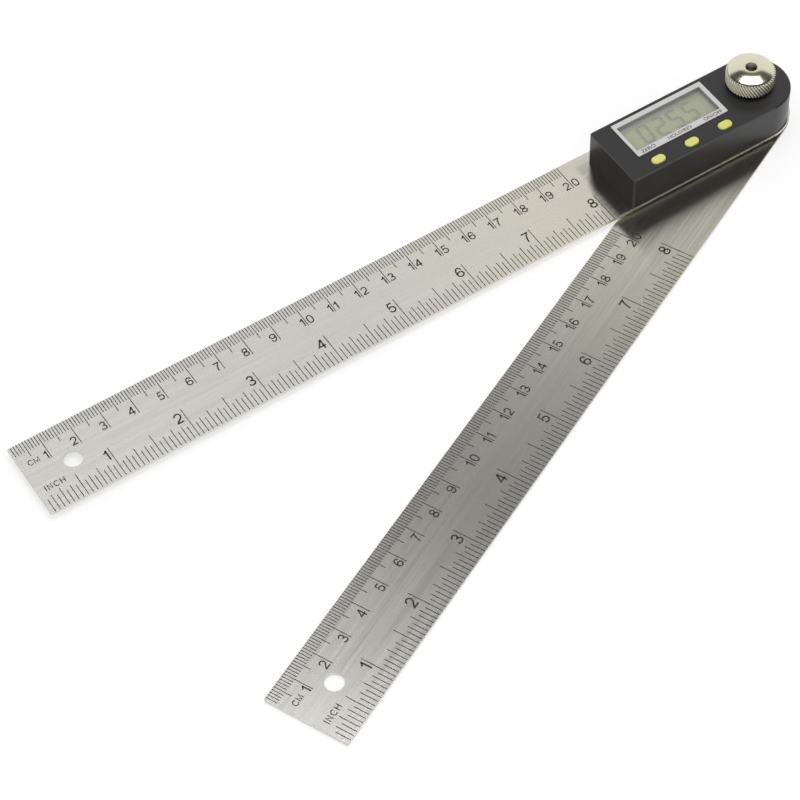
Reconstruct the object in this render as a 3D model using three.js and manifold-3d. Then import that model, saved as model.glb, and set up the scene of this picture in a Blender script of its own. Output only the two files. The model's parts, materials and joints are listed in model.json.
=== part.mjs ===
// Digital angle finder: two steel rules on one pivot, with a display head on the upper rule.
// Millimetres, +Z up. The origin is on the pivot axis, at the underside of the lower rule.
// The upper rule runs along -X from the pivot. The lower rule is turned by the angle at rest.

import * as THREE from 'three';
import { mergeVertices } from 'three/addons/utils/BufferGeometryUtils.js';
import Module from 'manifold-3d';

const wasm = await Module();
wasm.setup();

// Clearances, and how far a cutting solid runs past the face that it cuts
const slideGap = 0.15;
const seatGap = 0.1;
const turningGap = 0.2;
const cutOverrun = 1;

// Facets of round forms
const largeRoundSteps = 64;
const roundSteps = 40;
const smallRoundSteps = 16;
const cornerSteps = 4;

// Rules
const ruleLength = 280;
const ruleWidth = 28;
const ruleThickness = 1;
const ruleCornerRadius = 0.5;
const hangHoleDiameter = 6;
const hangHoleFromEnd = 15;
const restAngleDegrees = 25.5;

// Countersunk screws that come through the rules from below
const screwShankDiameter = 1.8;
const screwHeadDiameter = 3.6;
const screwHeadHeightShare = 0.9;
const hubScrewLength = 4.6;
const housingScrewLength = 7;
const driveRecessShares = { length: 0.62, width: 0.14, depth: 0.55 };
const screwTipShare = 0.45;

// Pivot
const frictionWasherDiameter = 22;
const frictionWasherThickness = 0.7;
const hubDiameter = 13;
const hubEdge = 0.25;
const hubScrewCount = 3;
const hubScrewCircleDiameter = 8.8;
const hubScrewTurnShare = 0.5;
const studShankDiameter = 4;
const studThreadDiameter = 3.4;
const studCollarDiameter = 8;
const studCollarHeight = 0.8;
const studFloor = 1;
const collarBoardGap = 0.5;
const rotorThickness = 0.8;
const rotorWallGap = 0.45;
const rotorBoardGap = 0.35;
const bushDiameter = 7;
const bushLength = 3.5;
const bushFlangeDiameter = 10.4;
const bushFlangeThickness = 0.5;
const knobWasherThickness = 0.4;

// Lock knob
const knobDiameter = 16.4;
const knobHeight = 6.1;
const knurlDepth = 0.3;
const knurlTeeth = 54;
const knurlTwistTeeth = 3.2;
const knurlBandHeight = 2.9;
const knurlInset = 0.04;
const knurlLevelShares = [
  { height: 0, tooth: 0 },
  { height: 0.1, tooth: 1 },
  { height: 0.5, tooth: 1 },
  { height: 0.9, tooth: 1 },
  { height: 1, tooth: 0 },
];
const knobBoreGap = 0.2;
const knobMouthChamfer = 0.45;
const knobCrownRadius = 2.6;
const studBelowKnobTop = 2.2;
const crownSteps = 7;

// Coin cell and its drawer
const cellDiameter = 20;
const cellHeight = 3.2;
const cellCapDiameter = 17.6;
const cellCapRise = 0.3;
const cellEdge = 0.35;
const cellSideGap = 0.3;
const contactLane = 1.6;
const contactThickness = 0.3;
const contactGap = 0.2;
const contactWidth = 4;
const negativeLeafShares = { root: 0.7, bend: 0.3, touch: -0.1, lift: -0.25, tip: -0.4 };
const drawerFloorThickness = 0.7;
const drawerRailThickness = 0.6;
const drawerRailHeight = 1.8;
const drawerReachShare = 0.86;
const drawerHoleDiameter = 8;
const drawerTopGap = 0.3;
const nailGrooveLength = 9;
const nailGrooveHeight = 1.1;
const nailGrooveDepth = 0.5;

// Layers between the cell and the housing's top
const cellBoardSpace = 1.6;
const boardThickness = 1;
const zebraHeight = 3.9;
const glassThickness = 1;
const housingTopThickness = 1.5;

// Housing
const wallThickness = 1.4;
const housingReach = 55.6;
const housingFrontSetback = 0.15;
const housingCornerRadius = 0.9;
const housingEdge = 0.55;
const housingEdgeSteps = 3;
const bossDiameter = 4.2;
const bossShoulderDiameter = 5;
const bossWallGap = 0.35;
const postDiameter = 4.2;
const ribThickness = 0.8;
const ribHeight = 1.2;
const bossWebAboveBoard = 1.2;
const bushBossDiameter = 11;
const fanRibAnglesDegrees = [-80, -40, 0, 40, 80];

// Circuit board, its screws and chip
const boardWallGap = 0.25;
const boardScrewDiameter = 1.6;
const boardScrewHeadDiameter = 3;
const boardScrewHeadHeight = 0.9;
const boardScrewHeadEdge = 0.3;
const boardScrewLength = 4.2;
const boardScrewRotorGap = 0.9;
const chipDiameter = 7;
const chipHeight = 1.1;
const chipSteps = 5;

// Display
const endLane = 6;
const glassRearGap = 0.75;
const buttonLane = 7.15;
const glassBossGap = 0.3;
const glassRibGap = 0.25;
const windowEndMargin = 0.75;
const windowFrontMargin = 1.35;
const windowRearMargin = 1.3;
const bezelSkirt = 0.35;
const bezelProud = 0.3;
const bezelEdge = 0.12;
const bezelCornerRadius = 0.4;
const bezelBorderLeft = 1.15;
const bezelBorderRight = 1.55;
const bezelBorderFront = 2.35;
const bezelBorderRear = 1.8;
const lensThickness = 0.8;
const zebraWidth = 1.5;
const zebraEdgeGap = 0.2;

// Buttons and the switches under them
const buttonLength = 5;
const buttonWidth = 3.15;
const buttonProud = 0.4;
const buttonEdge = 0.3;
const buttonEdgeSteps = 2;
const buttonRimLength = 6.6;
const buttonRimThickness = 0.8;
const buttonWallGap = 0.325;
const buttonPitchShare = 0.384;
const buttonRowShift = 0.4;
const buttonTravel = 0.5;
const plungerDiameter = 2.2;
const switchLength = 4.2;
const switchWidth = 3;
const switchHeight = 1.6;
const switchStemDiameter = 1.8;
const switchStemHeight = 0.5;

// Heights, from the lower rule up
const lowerRuleTop = ruleThickness;
const upperRuleBottom = lowerRuleTop + frictionWasherThickness;
const upperRuleTop = upperRuleBottom + ruleThickness;
const drawerFloorTop = upperRuleTop + drawerFloorThickness;
const cellTop = drawerFloorTop + cellHeight;
const boardBottom = cellTop + cellBoardSpace;
const boardTop = boardBottom + boardThickness;
const upperGlassBottom = boardTop + zebraHeight;
const upperGlassTop = upperGlassBottom + glassThickness;
const ceiling = upperGlassTop + seatGap;
const housingTop = ceiling + housingTopThickness;
const rotorTop = boardBottom - rotorBoardGap;
const hubTop = rotorTop - rotorThickness;
const bushTop = housingTop + bushFlangeThickness;
const knobBottom = bushTop + knobWasherThickness;
const knobTop = knobBottom + knobHeight;

// Places in plan
const ruleFreeEnd = ruleWidth / 2 - ruleLength;
const housingWidth = wallThickness * 2 + cellDiameter + cellSideGap + contactLane;
const housingFront = housingFrontSetback - ruleWidth / 2;
const housingRear = housingFront + housingWidth;
const housingCentreY = (housingFront + housingRear) / 2;
const innerFront = housingFront + wallThickness;
const innerRear = housingRear - wallThickness;
const innerEnd = wallThickness - housingReach;
const innerCornerRadius = housingCornerRadius / 2;
const rotorRadius = (innerRear - innerFront) / 2 - Math.abs(housingCentreY) - rotorWallGap;
const boardScrewRightX = -(rotorRadius + boardScrewRotorGap + boardScrewHeadDiameter / 2);
const boardScrewLeftX = innerEnd + endLane / 2;
const glassRight = boardScrewRightX - bossShoulderDiameter / 2 - glassBossGap;
const glassLeft = innerEnd + endLane;
const glassRear = innerRear - glassRearGap;
const glassFront = innerFront + buttonLane;
const cellX = (boardScrewLeftX + boardScrewRightX) / 2;
const cellY = innerRear - cellSideGap - cellDiameter / 2;
const bossInset = bossShoulderDiameter / 2 + bossWallGap;
const bossPlaces = [
  [boardScrewLeftX, innerFront + bossInset],
  [boardScrewLeftX, innerRear - bossInset],
  [boardScrewRightX, innerFront + bossInset],
  [boardScrewRightX, innerRear - bossInset],
];
const postPlaces = [
  [boardScrewLeftX, housingCentreY],
  [boardScrewRightX, housingCentreY],
];
const windowBox = {
  left: glassLeft + windowEndMargin,
  right: glassRight - windowEndMargin,
  front: glassFront + windowFrontMargin,
  rear: glassRear - windowRearMargin,
};
const buttonY = innerFront + buttonWallGap + slideGap + buttonWidth / 2;
const buttonPitch = (glassRight - glassLeft) * buttonPitchShare;
const buttonRowX = (glassLeft + glassRight) / 2 + buttonRowShift;
const buttonNames = ['zero', 'hold', 'power'];
const buttonPlacesX = buttonNames.map((name, index) => buttonRowX + (index - 1) * buttonPitch);

// Finishes
const finishes = {
  brushedSteel: { color: 0xc6c4bd, roughness: 0.34, metalness: 1 },
  nickel: { color: 0xcfc8b4, roughness: 0.2, metalness: 1 },
  zincSteel: { color: 0x9b9ea1, roughness: 0.38, metalness: 1 },
  brass: { color: 0xb89a54, roughness: 0.35, metalness: 1 },
  aluminium: { color: 0xb9bbbe, roughness: 0.4, metalness: 1 },
  blackPlastic: { color: 0x2b2b2d, roughness: 0.5, metalness: 0 },
  greyPlastic: { color: 0xc9cbcc, roughness: 0.45, metalness: 0 },
  yellowRubber: { color: 0xcfd05a, roughness: 0.6, metalness: 0 },
  clearPlastic: { color: 0xe6ebe6, roughness: 0.08, metalness: 0, transparent: true, opacity: 0.35 },
  displayGlass: { color: 0xa5ac98, roughness: 0.2, metalness: 0 },
  greenBoard: { color: 0x1f5b35, roughness: 0.5, metalness: 0 },
  darkResin: { color: 0x151517, roughness: 0.35, metalness: 0 },
  greyRubber: { color: 0x6f7276, roughness: 0.8, metalness: 0 },
};

function finish(name) {
  return new THREE.MeshStandardMaterial(finishes[name]);
}

// Solids: turning three.js geometry into one closed body and back

function indexWithoutCollapsedFaces(index) {
  const kept = [];
  for (let at = 0; at < index.length; at += 3) {
    const [a, b, c] = [index[at], index[at + 1], index[at + 2]];
    if (a !== b && b !== c && c !== a) kept.push(a, b, c);
  }
  return kept;
}

function enclosedVolume(places, index) {
  const corners = [new THREE.Vector3(), new THREE.Vector3(), new THREE.Vector3()];
  let volume = 0;
  for (let at = 0; at < index.length; at += 3) {
    corners.forEach((corner, offset) => corner.fromArray(places, index[at + offset] * 3));
    volume += corners[0].dot(corners[1].cross(corners[2])) / 6;
  }
  return volume;
}

function solid(geometry) {
  const bare = geometry.clone();
  bare.deleteAttribute('normal');
  bare.deleteAttribute('uv');
  const merged = mergeVertices(bare);
  const places = Float32Array.from(merged.attributes.position.array);
  const index = indexWithoutCollapsedFaces(merged.index.array);
  if (enclosedVolume(places, index) < 0) index.reverse();
  const mesh = new wasm.Mesh({
    numProp: 3,
    vertProperties: places,
    triVerts: Uint32Array.from(index),
  });
  return new wasm.Manifold(mesh);
}

function joined(...solids) {
  return solids.reduce((whole, next) => whole.add(next));
}

function cut(whole, ...tools) {
  return tools.reduce((left, tool) => left.subtract(tool), whole);
}

function piece(name, body, finishName) {
  const mesh = body.getMesh();
  const geometry = new THREE.BufferGeometry();
  geometry.setAttribute('position', new THREE.BufferAttribute(Float32Array.from(mesh.vertProperties), 3));
  geometry.setIndex(new THREE.BufferAttribute(Uint32Array.from(mesh.triVerts), 1));
  geometry.computeVertexNormals();
  const result = new THREE.Mesh(geometry, finish(finishName));
  result.name = name;
  return result;
}

// Basic forms

function prism(shape, bottom, top) {
  const geometry = new THREE.ExtrudeGeometry(shape, { depth: top - bottom, bevelEnabled: false });
  geometry.translate(0, 0, bottom);
  return solid(geometry);
}

// A prism whose top edge is rounded inwards; its lower edge is cut off square.
function softPrism(shape, bottom, top, edge, edgeSteps) {
  const geometry = new THREE.ExtrudeGeometry(shape, {
    depth: top - bottom,
    bevelEnabled: true,
    bevelThickness: edge,
    bevelSize: edge,
    bevelOffset: -edge,
    bevelSegments: edgeSteps,
  });
  geometry.translate(0, 0, bottom - edge);
  geometry.computeBoundingBox();
  const bounds = geometry.boundingBox;
  const below = block(
    bounds.min.x - cutOverrun, bounds.max.x + cutOverrun,
    bounds.min.y - cutOverrun, bounds.max.y + cutOverrun,
    bounds.min.z - cutOverrun, bottom,
  );
  return cut(solid(geometry), below);
}

// A profile of [radius, height] points turned about a vertical axis at x, y.
function turned(profile, steps, x = 0, y = 0) {
  const points = profile.map(([radius, height]) => new THREE.Vector2(radius, height));
  const geometry = new THREE.LatheGeometry(points, steps);
  geometry.rotateX(Math.PI / 2);
  geometry.translate(x, y, 0);
  return solid(geometry);
}

function rod(diameter, bottom, top, steps, x = 0, y = 0) {
  const radius = diameter / 2;
  return turned([[0, bottom], [radius, bottom], [radius, top], [0, top]], steps, x, y);
}

function ring(outerDiameter, innerDiameter, bottom, top, steps) {
  const outer = outerDiameter / 2;
  const inner = innerDiameter / 2;
  return turned([[inner, bottom], [outer, bottom], [outer, top], [inner, top], [inner, bottom]], steps);
}

function block(left, right, front, rear, bottom, top) {
  const geometry = new THREE.BoxGeometry(right - left, rear - front, top - bottom);
  geometry.translate((left + right) / 2, (front + rear) / 2, (bottom + top) / 2);
  return solid(geometry);
}

function arc(centreX, centreY, radius, fromAngle, toAngle, steps) {
  const points = [];
  for (let step = 0; step <= steps; step += 1) {
    const angle = fromAngle + ((toAngle - fromAngle) * step) / steps;
    points.push(new THREE.Vector2(centreX + radius * Math.cos(angle), centreY + radius * Math.sin(angle)));
  }
  return points;
}

// A bar with a half-round right end about x = 0 and a square left end with small corners.
function roundEndedBar(leftEnd, centreY, width, cornerRadius, steps) {
  const half = width / 2;
  const cornerX = leftEnd + cornerRadius;
  const cornerY = half - cornerRadius;
  const quarter = Math.PI / 2;
  return new THREE.Shape([
    ...arc(0, centreY, half, -quarter, quarter, steps / 2),
    ...arc(cornerX, centreY + cornerY, cornerRadius, quarter, Math.PI, cornerSteps),
    ...arc(cornerX, centreY - cornerY, cornerRadius, Math.PI, Math.PI + quarter, cornerSteps),
  ]);
}

function roundedRectangle(left, right, front, rear, radius) {
  const quarter = Math.PI / 2;
  return new THREE.Shape([
    ...arc(right - radius, front + radius, radius, -quarter, 0, cornerSteps),
    ...arc(right - radius, rear - radius, radius, 0, quarter, cornerSteps),
    ...arc(left + radius, rear - radius, radius, quarter, Math.PI, cornerSteps),
    ...arc(left + radius, front + radius, radius, Math.PI, Math.PI + quarter, cornerSteps),
  ]);
}

function rectangle(left, right, front, rear) {
  return new THREE.Shape([
    new THREE.Vector2(left, front),
    new THREE.Vector2(right, front),
    new THREE.Vector2(right, rear),
    new THREE.Vector2(left, rear),
  ]);
}

// A slot along X with half-round ends.
function slot(centreX, centreY, length, width) {
  const reach = (length - width) / 2;
  const quarter = Math.PI / 2;
  return new THREE.Shape([
    ...arc(centreX + reach, centreY, width / 2, -quarter, quarter, smallRoundSteps / 2),
    ...arc(centreX - reach, centreY, width / 2, quarter, quarter + Math.PI, smallRoundSteps / 2),
  ]);
}

// Countersunk screws and their holes, with the head flush in the underside of a rule

const screwHeadHeight = ruleThickness * screwHeadHeightShare;

function countersunkScrew(bottom, length, x, y) {
  const head = screwHeadDiameter / 2;
  const shank = screwShankDiameter / 2;
  const tip = shank * screwTipShare;
  const body = turned([
    [0, bottom],
    [head, bottom],
    [shank, bottom + screwHeadHeight],
    [shank, bottom + length - (shank - tip)],
    [tip, bottom + length],
    [0, bottom + length],
  ], smallRoundSteps, x, y);
  const reach = (screwHeadDiameter * driveRecessShares.length) / 2;
  const half = (screwHeadDiameter * driveRecessShares.width) / 2;
  const depth = screwHeadHeight * driveRecessShares.depth;
  const below = bottom - cutOverrun;
  const along = block(x - reach, x + reach, y - half, y + half, below, bottom + depth);
  const across = block(x - half, x + half, y - reach, y + reach, below, bottom + depth);
  return cut(body, along, across);
}

function countersunkHole(bottom, x, y) {
  const mouth = screwHeadDiameter / 2 + slideGap;
  const bore = screwShankDiameter / 2 + slideGap;
  const top = bottom + ruleThickness + cutOverrun;
  return turned([
    [0, bottom - cutOverrun],
    [mouth, bottom - cutOverrun],
    [mouth, bottom],
    [bore, bottom + screwHeadHeight],
    [bore, top],
    [0, top],
  ], smallRoundSteps, x, y);
}

const screwBoreDiameter = screwShankDiameter + slideGap * 2;
const hubScrewPlaces = Array.from({ length: hubScrewCount }, (unused, index) => {
  const angle = ((index + hubScrewTurnShare) * 2 * Math.PI) / hubScrewCount;
  return [Math.cos(angle) * hubScrewCircleDiameter / 2, Math.sin(angle) * hubScrewCircleDiameter / 2];
});

// Rules

function ruleBlank(bottom) {
  const outline = roundEndedBar(ruleFreeEnd, 0, ruleWidth, ruleCornerRadius, largeRoundSteps);
  const hangHoleX = ruleFreeEnd + hangHoleFromEnd;
  outline.holes.push(new THREE.Path(arc(hangHoleX, 0, hangHoleDiameter / 2, 0, 2 * Math.PI, roundSteps)));
  return prism(outline, bottom, bottom + ruleThickness);
}

function makeUpperRule() {
  const hubHole = rod(
    hubDiameter + turningGap * 2,
    upperRuleBottom - cutOverrun, upperRuleTop + cutOverrun,
    largeRoundSteps,
  );
  const screwHoles = bossPlaces.map(([x, y]) => countersunkHole(upperRuleBottom, x, y));
  return piece('upper_rule', cut(ruleBlank(upperRuleBottom), hubHole, ...screwHoles), 'brushedSteel');
}

function makeLowerRule() {
  const screwHoles = hubScrewPlaces.map(([x, y]) => countersunkHole(0, x, y));
  return piece('lower_rule', cut(ruleBlank(0), ...screwHoles), 'brushedSteel');
}

// Pivot: hub, stud and encoder disc turn with the lower rule

function makeFrictionWasher() {
  const hole = hubDiameter + turningGap * 2;
  const body = ring(frictionWasherDiameter, hole, lowerRuleTop, upperRuleBottom, largeRoundSteps);
  return piece('friction_washer', body, 'blackPlastic');
}

function makePivotHub() {
  const radius = hubDiameter / 2;
  const blank = turned([
    [0, lowerRuleTop],
    [radius, lowerRuleTop],
    [radius, hubTop - hubEdge],
    [radius - hubEdge, hubTop],
    [0, hubTop],
  ], largeRoundSteps);
  const studBore = rod(
    studShankDiameter + slideGap * 2,
    lowerRuleTop + studFloor, hubTop + cutOverrun,
    roundSteps,
  );
  const screwBores = hubScrewPlaces.map(([x, y]) => rod(
    screwBoreDiameter,
    lowerRuleTop - cutOverrun, hubScrewLength + seatGap,
    smallRoundSteps, x, y,
  ));
  return piece('pivot_hub', cut(blank, studBore, ...screwBores), 'aluminium');
}

function makePivotStud() {
  const shank = studShankDiameter / 2;
  const thread = studThreadDiameter / 2;
  const collar = studCollarDiameter / 2;
  const bottom = lowerRuleTop + studFloor + seatGap;
  const collarTop = rotorTop + studCollarHeight;
  const shoulder = knobBottom - slideGap - (shank - thread);
  const top = knobTop - studBelowKnobTop;
  const body = turned([
    [0, bottom],
    [shank, bottom],
    [shank, rotorTop],
    [collar, rotorTop],
    [collar, collarTop],
    [shank, collarTop],
    [shank, shoulder],
    [thread, shoulder + (shank - thread)],
    [thread, top - (shank - thread)],
    [thread - (shank - thread), top],
    [0, top],
  ], roundSteps);
  return piece('pivot_stud', body, 'zincSteel');
}

function makeEncoderRotor() {
  const hole = studShankDiameter + slideGap * 2;
  const body = ring(rotorRadius * 2, hole, hubTop, rotorTop, largeRoundSteps);
  return piece('encoder_rotor', body, 'greenBoard');
}

function makePivotBush() {
  const bore = studShankDiameter / 2 + slideGap;
  const outer = bushDiameter / 2;
  const flange = bushFlangeDiameter / 2;
  const bottom = housingTop - bushLength;
  const body = turned([
    [bore, bottom],
    [outer, bottom],
    [outer, housingTop],
    [flange, housingTop],
    [flange, bushTop],
    [bore, bushTop],
    [bore, bottom],
  ], roundSteps);
  return piece('pivot_bush', body, 'zincSteel');
}

function makeKnobWasher() {
  const hole = studShankDiameter + slideGap * 2;
  return piece('knob_washer', ring(bushFlangeDiameter, hole, bushTop, knobBottom, roundSteps), 'zincSteel');
}

// Lock knob: a band of slanted teeth under a polished crown

// Each level is a ring of tooth tips and roots, turned further round the higher it stands.
function knurlBand(bottom, top) {
  const rootRadius = knobDiameter / 2 - knurlDepth;
  const around = knurlTeeth * 2;
  const positions = [];
  for (const share of knurlLevelShares) {
    for (let at = 0; at < around; at += 1) {
      const radius = rootRadius + (at % 2) * knurlDepth * share.tooth;
      const angle = ((at / 2 - share.height * knurlTwistTeeth) / knurlTeeth) * 2 * Math.PI;
      const height = bottom + (top - bottom) * share.height;
      positions.push(radius * Math.cos(angle), radius * Math.sin(angle), height);
    }
  }
  positions.push(0, 0, bottom, 0, 0, top);
  const levels = knurlLevelShares.length;
  const bottomCentre = levels * around;
  const topCentre = bottomCentre + 1;
  const lastRing = (levels - 1) * around;
  const index = [];
  for (let at = 0; at < around; at += 1) {
    const next = (at + 1) % around;
    index.push(bottomCentre, next, at);
    index.push(topCentre, lastRing + at, lastRing + next);
    for (let level = 0; level < levels - 1; level += 1) {
      const low = level * around;
      const high = low + around;
      index.push(low + at, low + next, high + next);
      index.push(low + at, high + next, high + at);
    }
  }
  const geometry = new THREE.BufferGeometry();
  geometry.setAttribute('position', new THREE.Float32BufferAttribute(positions, 3));
  geometry.setIndex(index);
  return solid(geometry);
}

function makeLockKnob() {
  const bandTop = knobBottom + knurlBandHeight;
  const crownRadius = knobDiameter / 2 - knurlDepth - knurlInset;
  const bore = studThreadDiameter / 2 + knobBoreGap;
  const crown = [];
  for (let step = 0; step <= crownSteps; step += 1) {
    const angle = (step / crownSteps) * (Math.PI / 2);
    const radius = knobCrownRadius + (crownRadius - knobCrownRadius) * Math.cos(angle);
    crown.push([radius, bandTop + (knobTop - bandTop) * Math.sin(angle)]);
  }
  const core = turned([[0, knobBottom], [crownRadius, knobBottom], ...crown, [0, knobTop]], largeRoundSteps);
  const mouth = bore + knobMouthChamfer;
  const boreTool = turned([
    [0, knobBottom - cutOverrun],
    [bore, knobBottom - cutOverrun],
    [bore, knobTop - knobMouthChamfer],
    [mouth, knobTop],
    [mouth, knobTop + cutOverrun],
    [0, knobTop + cutOverrun],
  ], roundSteps);
  const body = cut(joined(core, knurlBand(knobBottom, bandTop)), boreTool);
  return piece('lock_knob', body, 'nickel');
}

// Housing: a moulded shell, open below, with bosses, posts and ribs under its top

function housingShell() {
  const outline = roundEndedBar(
    -housingReach, housingCentreY, housingWidth, housingCornerRadius, largeRoundSteps,
  );
  const outside = softPrism(outline, upperRuleTop, housingTop, housingEdge, housingEdgeSteps);
  return cut(outside, cavity(upperRuleTop - cutOverrun, ceiling));
}

function cavity(bottom, top) {
  const outline = roundEndedBar(
    innerEnd, housingCentreY, innerRear - innerFront, innerCornerRadius, largeRoundSteps,
  );
  return prism(outline, bottom, top);
}

// A screw boss: thin below the board, wider above it so that the board seats on the shoulder.
function boss([x, y]) {
  const towardsWall = y < housingCentreY ? innerFront - wallThickness / 2 : innerRear + wallThickness / 2;
  const web = block(
    x - ribThickness / 2, x + ribThickness / 2,
    Math.min(y, towardsWall), Math.max(y, towardsWall),
    boardTop + bossWebAboveBoard, ceiling + seatGap,
  );
  return joined(
    rod(bossDiameter, upperRuleTop, boardTop + seatGap, smallRoundSteps, x, y),
    rod(bossShoulderDiameter, boardTop, ceiling + seatGap, smallRoundSteps, x, y),
    web,
  );
}

function glassRibs() {
  const gap = glassRibGap;
  const outer = gap + ribThickness;
  const frame = rectangle(glassLeft - outer, glassRight + outer, glassFront - outer, glassRear + outer);
  frame.holes.push(rectangle(glassLeft - gap, glassRight + gap, glassFront - gap, glassRear + gap));
  return prism(frame, upperGlassBottom - ribHeight, ceiling + seatGap);
}

function fanRibs() {
  return fanRibAnglesDegrees.map((degrees) => {
    const geometry = new THREE.BoxGeometry(housingWidth, ribThickness, ribHeight + seatGap);
    geometry.translate(housingWidth / 2, 0, ceiling - (ribHeight - seatGap) / 2);
    geometry.rotateZ(THREE.MathUtils.degToRad(degrees));
    return solid(geometry);
  });
}

function housingHoles() {
  const margin = bezelSkirt + slideGap;
  const windowHole = block(
    windowBox.left - margin, windowBox.right + margin,
    windowBox.front - margin, windowBox.rear + margin,
    ceiling - cutOverrun, housingTop + cutOverrun,
  );
  const buttonHoles = buttonPlacesX.map((x) => prism(
    slot(x, buttonY, buttonLength + slideGap * 2, buttonWidth + slideGap * 2),
    ceiling - cutOverrun, housingTop + cutOverrun,
  ));
  const bushBottom = housingTop - bushLength;
  const bushHole = rod(
    bushDiameter + slideGap * 2, bushBottom - cutOverrun, housingTop + cutOverrun, roundSteps,
  );
  const screwTop = upperRuleBottom + housingScrewLength + seatGap;
  const pilotHoles = bossPlaces.map(([x, y]) => rod(
    screwBoreDiameter, upperRuleTop - cutOverrun, screwTop, smallRoundSteps, x, y,
  ));
  const postHoles = postPlaces.map(([x, y]) => rod(
    boardScrewDiameter + slideGap * 2,
    boardTop - cutOverrun, boardBottom + boardScrewLength + seatGap,
    smallRoundSteps, x, y,
  ));
  const drawerHalf = drawerWidth / 2 + slideGap;
  const drawerHole = block(
    cellX - drawerHalf, cellX + drawerHalf,
    innerRear - cutOverrun, housingRear + cutOverrun,
    upperRuleTop - cutOverrun, drawerTop + slideGap,
  );
  return [windowHole, bushHole, drawerHole, ...buttonHoles, ...pilotHoles, ...postHoles];
}

function makeHousing() {
  const bushBoss = rod(bushBossDiameter, housingTop - bushLength, ceiling + seatGap, roundSteps);
  const posts = postPlaces.map(([x, y]) => rod(
    postDiameter, boardTop, ceiling + seatGap, smallRoundSteps, x, y,
  ));
  const inside = joined(bushBoss, glassRibs(), ...fanRibs(), ...posts, ...bossPlaces.map(boss));
  const roomy = cavity(upperRuleTop, ceiling + seatGap);
  const body = cut(joined(housingShell(), inside.intersect(roomy)), ...housingHoles());
  return piece('housing', body, 'blackPlastic');
}

// Display: frame, window, glass and the rubber strips that feed it

function makeDisplayBezel() {
  const flange = softPrism(
    roundedRectangle(
      windowBox.left - bezelBorderLeft, windowBox.right + bezelBorderRight,
      windowBox.front - bezelBorderFront, windowBox.rear + bezelBorderRear,
      bezelCornerRadius,
    ),
    housingTop, housingTop + bezelProud, bezelEdge, 1,
  );
  const skirt = block(
    windowBox.left - bezelSkirt, windowBox.right + bezelSkirt,
    windowBox.front - bezelSkirt, windowBox.rear + bezelSkirt,
    ceiling + lensThickness + seatGap, housingTop + bezelProud / 2,
  );
  const opening = block(
    windowBox.left, windowBox.right, windowBox.front, windowBox.rear,
    ceiling - cutOverrun, housingTop + cutOverrun,
  );
  return piece('display_bezel', cut(joined(flange, skirt), opening), 'greyPlastic');
}

function makeDisplayLens() {
  const body = block(
    windowBox.left - bezelSkirt, windowBox.right + bezelSkirt,
    windowBox.front - bezelSkirt, windowBox.rear + bezelSkirt,
    ceiling, ceiling + lensThickness,
  );
  return piece('display_lens', body, 'clearPlastic');
}

// The lower glass stops short of the upper one, so that the contact strips reach the upper one.
function makeLcdPanel() {
  const ledge = zebraEdgeGap * 2 + zebraWidth;
  const upper = block(glassLeft, glassRight, glassFront, glassRear, upperGlassBottom, upperGlassTop);
  const lower = block(
    glassLeft, glassRight, glassFront + ledge, glassRear - ledge,
    upperGlassBottom - glassThickness, upperGlassBottom + glassThickness / 2,
  );
  return piece('lcd_panel', joined(upper, lower), 'displayGlass');
}

function makeZebraStrips() {
  const left = glassLeft + windowEndMargin;
  const right = glassRight - windowEndMargin;
  const front = glassFront + zebraEdgeGap;
  const rear = glassRear - zebraEdgeGap;
  return [
    piece(
      'zebra_strip_front',
      block(left, right, front, front + zebraWidth, boardTop, upperGlassBottom),
      'greyRubber',
    ),
    piece(
      'zebra_strip_rear',
      block(left, right, rear - zebraWidth, rear, boardTop, upperGlassBottom),
      'greyRubber',
    ),
  ];
}

// Circuit board, with what stands on it and holds it

function makeCircuitBoard() {
  const outline = roundEndedBar(
    innerEnd + boardWallGap, housingCentreY, innerRear - innerFront - boardWallGap * 2,
    innerCornerRadius, largeRoundSteps,
  );
  const low = boardBottom - cutOverrun;
  const high = boardTop + cutOverrun;
  const notchDiameter = bossDiameter + turningGap * 2;
  const notches = bossPlaces.flatMap(([x, y]) => {
    const edge = y < housingCentreY ? innerFront : innerRear;
    return [
      rod(notchDiameter, low, high, smallRoundSteps, x, y),
      block(x - notchDiameter / 2, x + notchDiameter / 2, Math.min(y, edge), Math.max(y, edge), low, high),
    ];
  });
  const screwHoles = postPlaces.map(([x, y]) => rod(
    boardScrewDiameter + slideGap * 2, low, high, smallRoundSteps, x, y,
  ));
  const collarHole = rod(studCollarDiameter + collarBoardGap * 2, low, high, roundSteps);
  const body = cut(prism(outline, boardBottom, boardTop), collarHole, ...notches, ...screwHoles);
  return piece('circuit_board', body, 'greenBoard');
}

function makeBoardScrews() {
  const head = boardScrewHeadDiameter / 2;
  const shank = boardScrewDiameter / 2;
  const low = boardBottom - boardScrewHeadHeight;
  const high = boardBottom + boardScrewLength;
  return postPlaces.map(([x, y], index) => {
    const body = turned([
      [0, low],
      [head - boardScrewHeadEdge, low],
      [head, low + boardScrewHeadEdge],
      [head, boardBottom],
      [shank, boardBottom],
      [shank, high],
      [0, high],
    ], smallRoundSteps, x, y);
    return piece(`board_screw_${index + 1}`, body, 'zincSteel');
  });
}

function makeDriverChip() {
  const radius = chipDiameter / 2;
  const profile = [[0, boardTop]];
  for (let step = 0; step <= chipSteps; step += 1) {
    const angle = (step / chipSteps) * (Math.PI / 2);
    profile.push([radius * Math.cos(angle), boardTop + chipHeight * Math.sin(angle)]);
  }
  const x = (glassLeft + glassRight) / 2;
  const y = (glassFront + glassRear) / 2;
  return piece('driver_chip', turned(profile, smallRoundSteps, x, y), 'darkResin');
}

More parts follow.
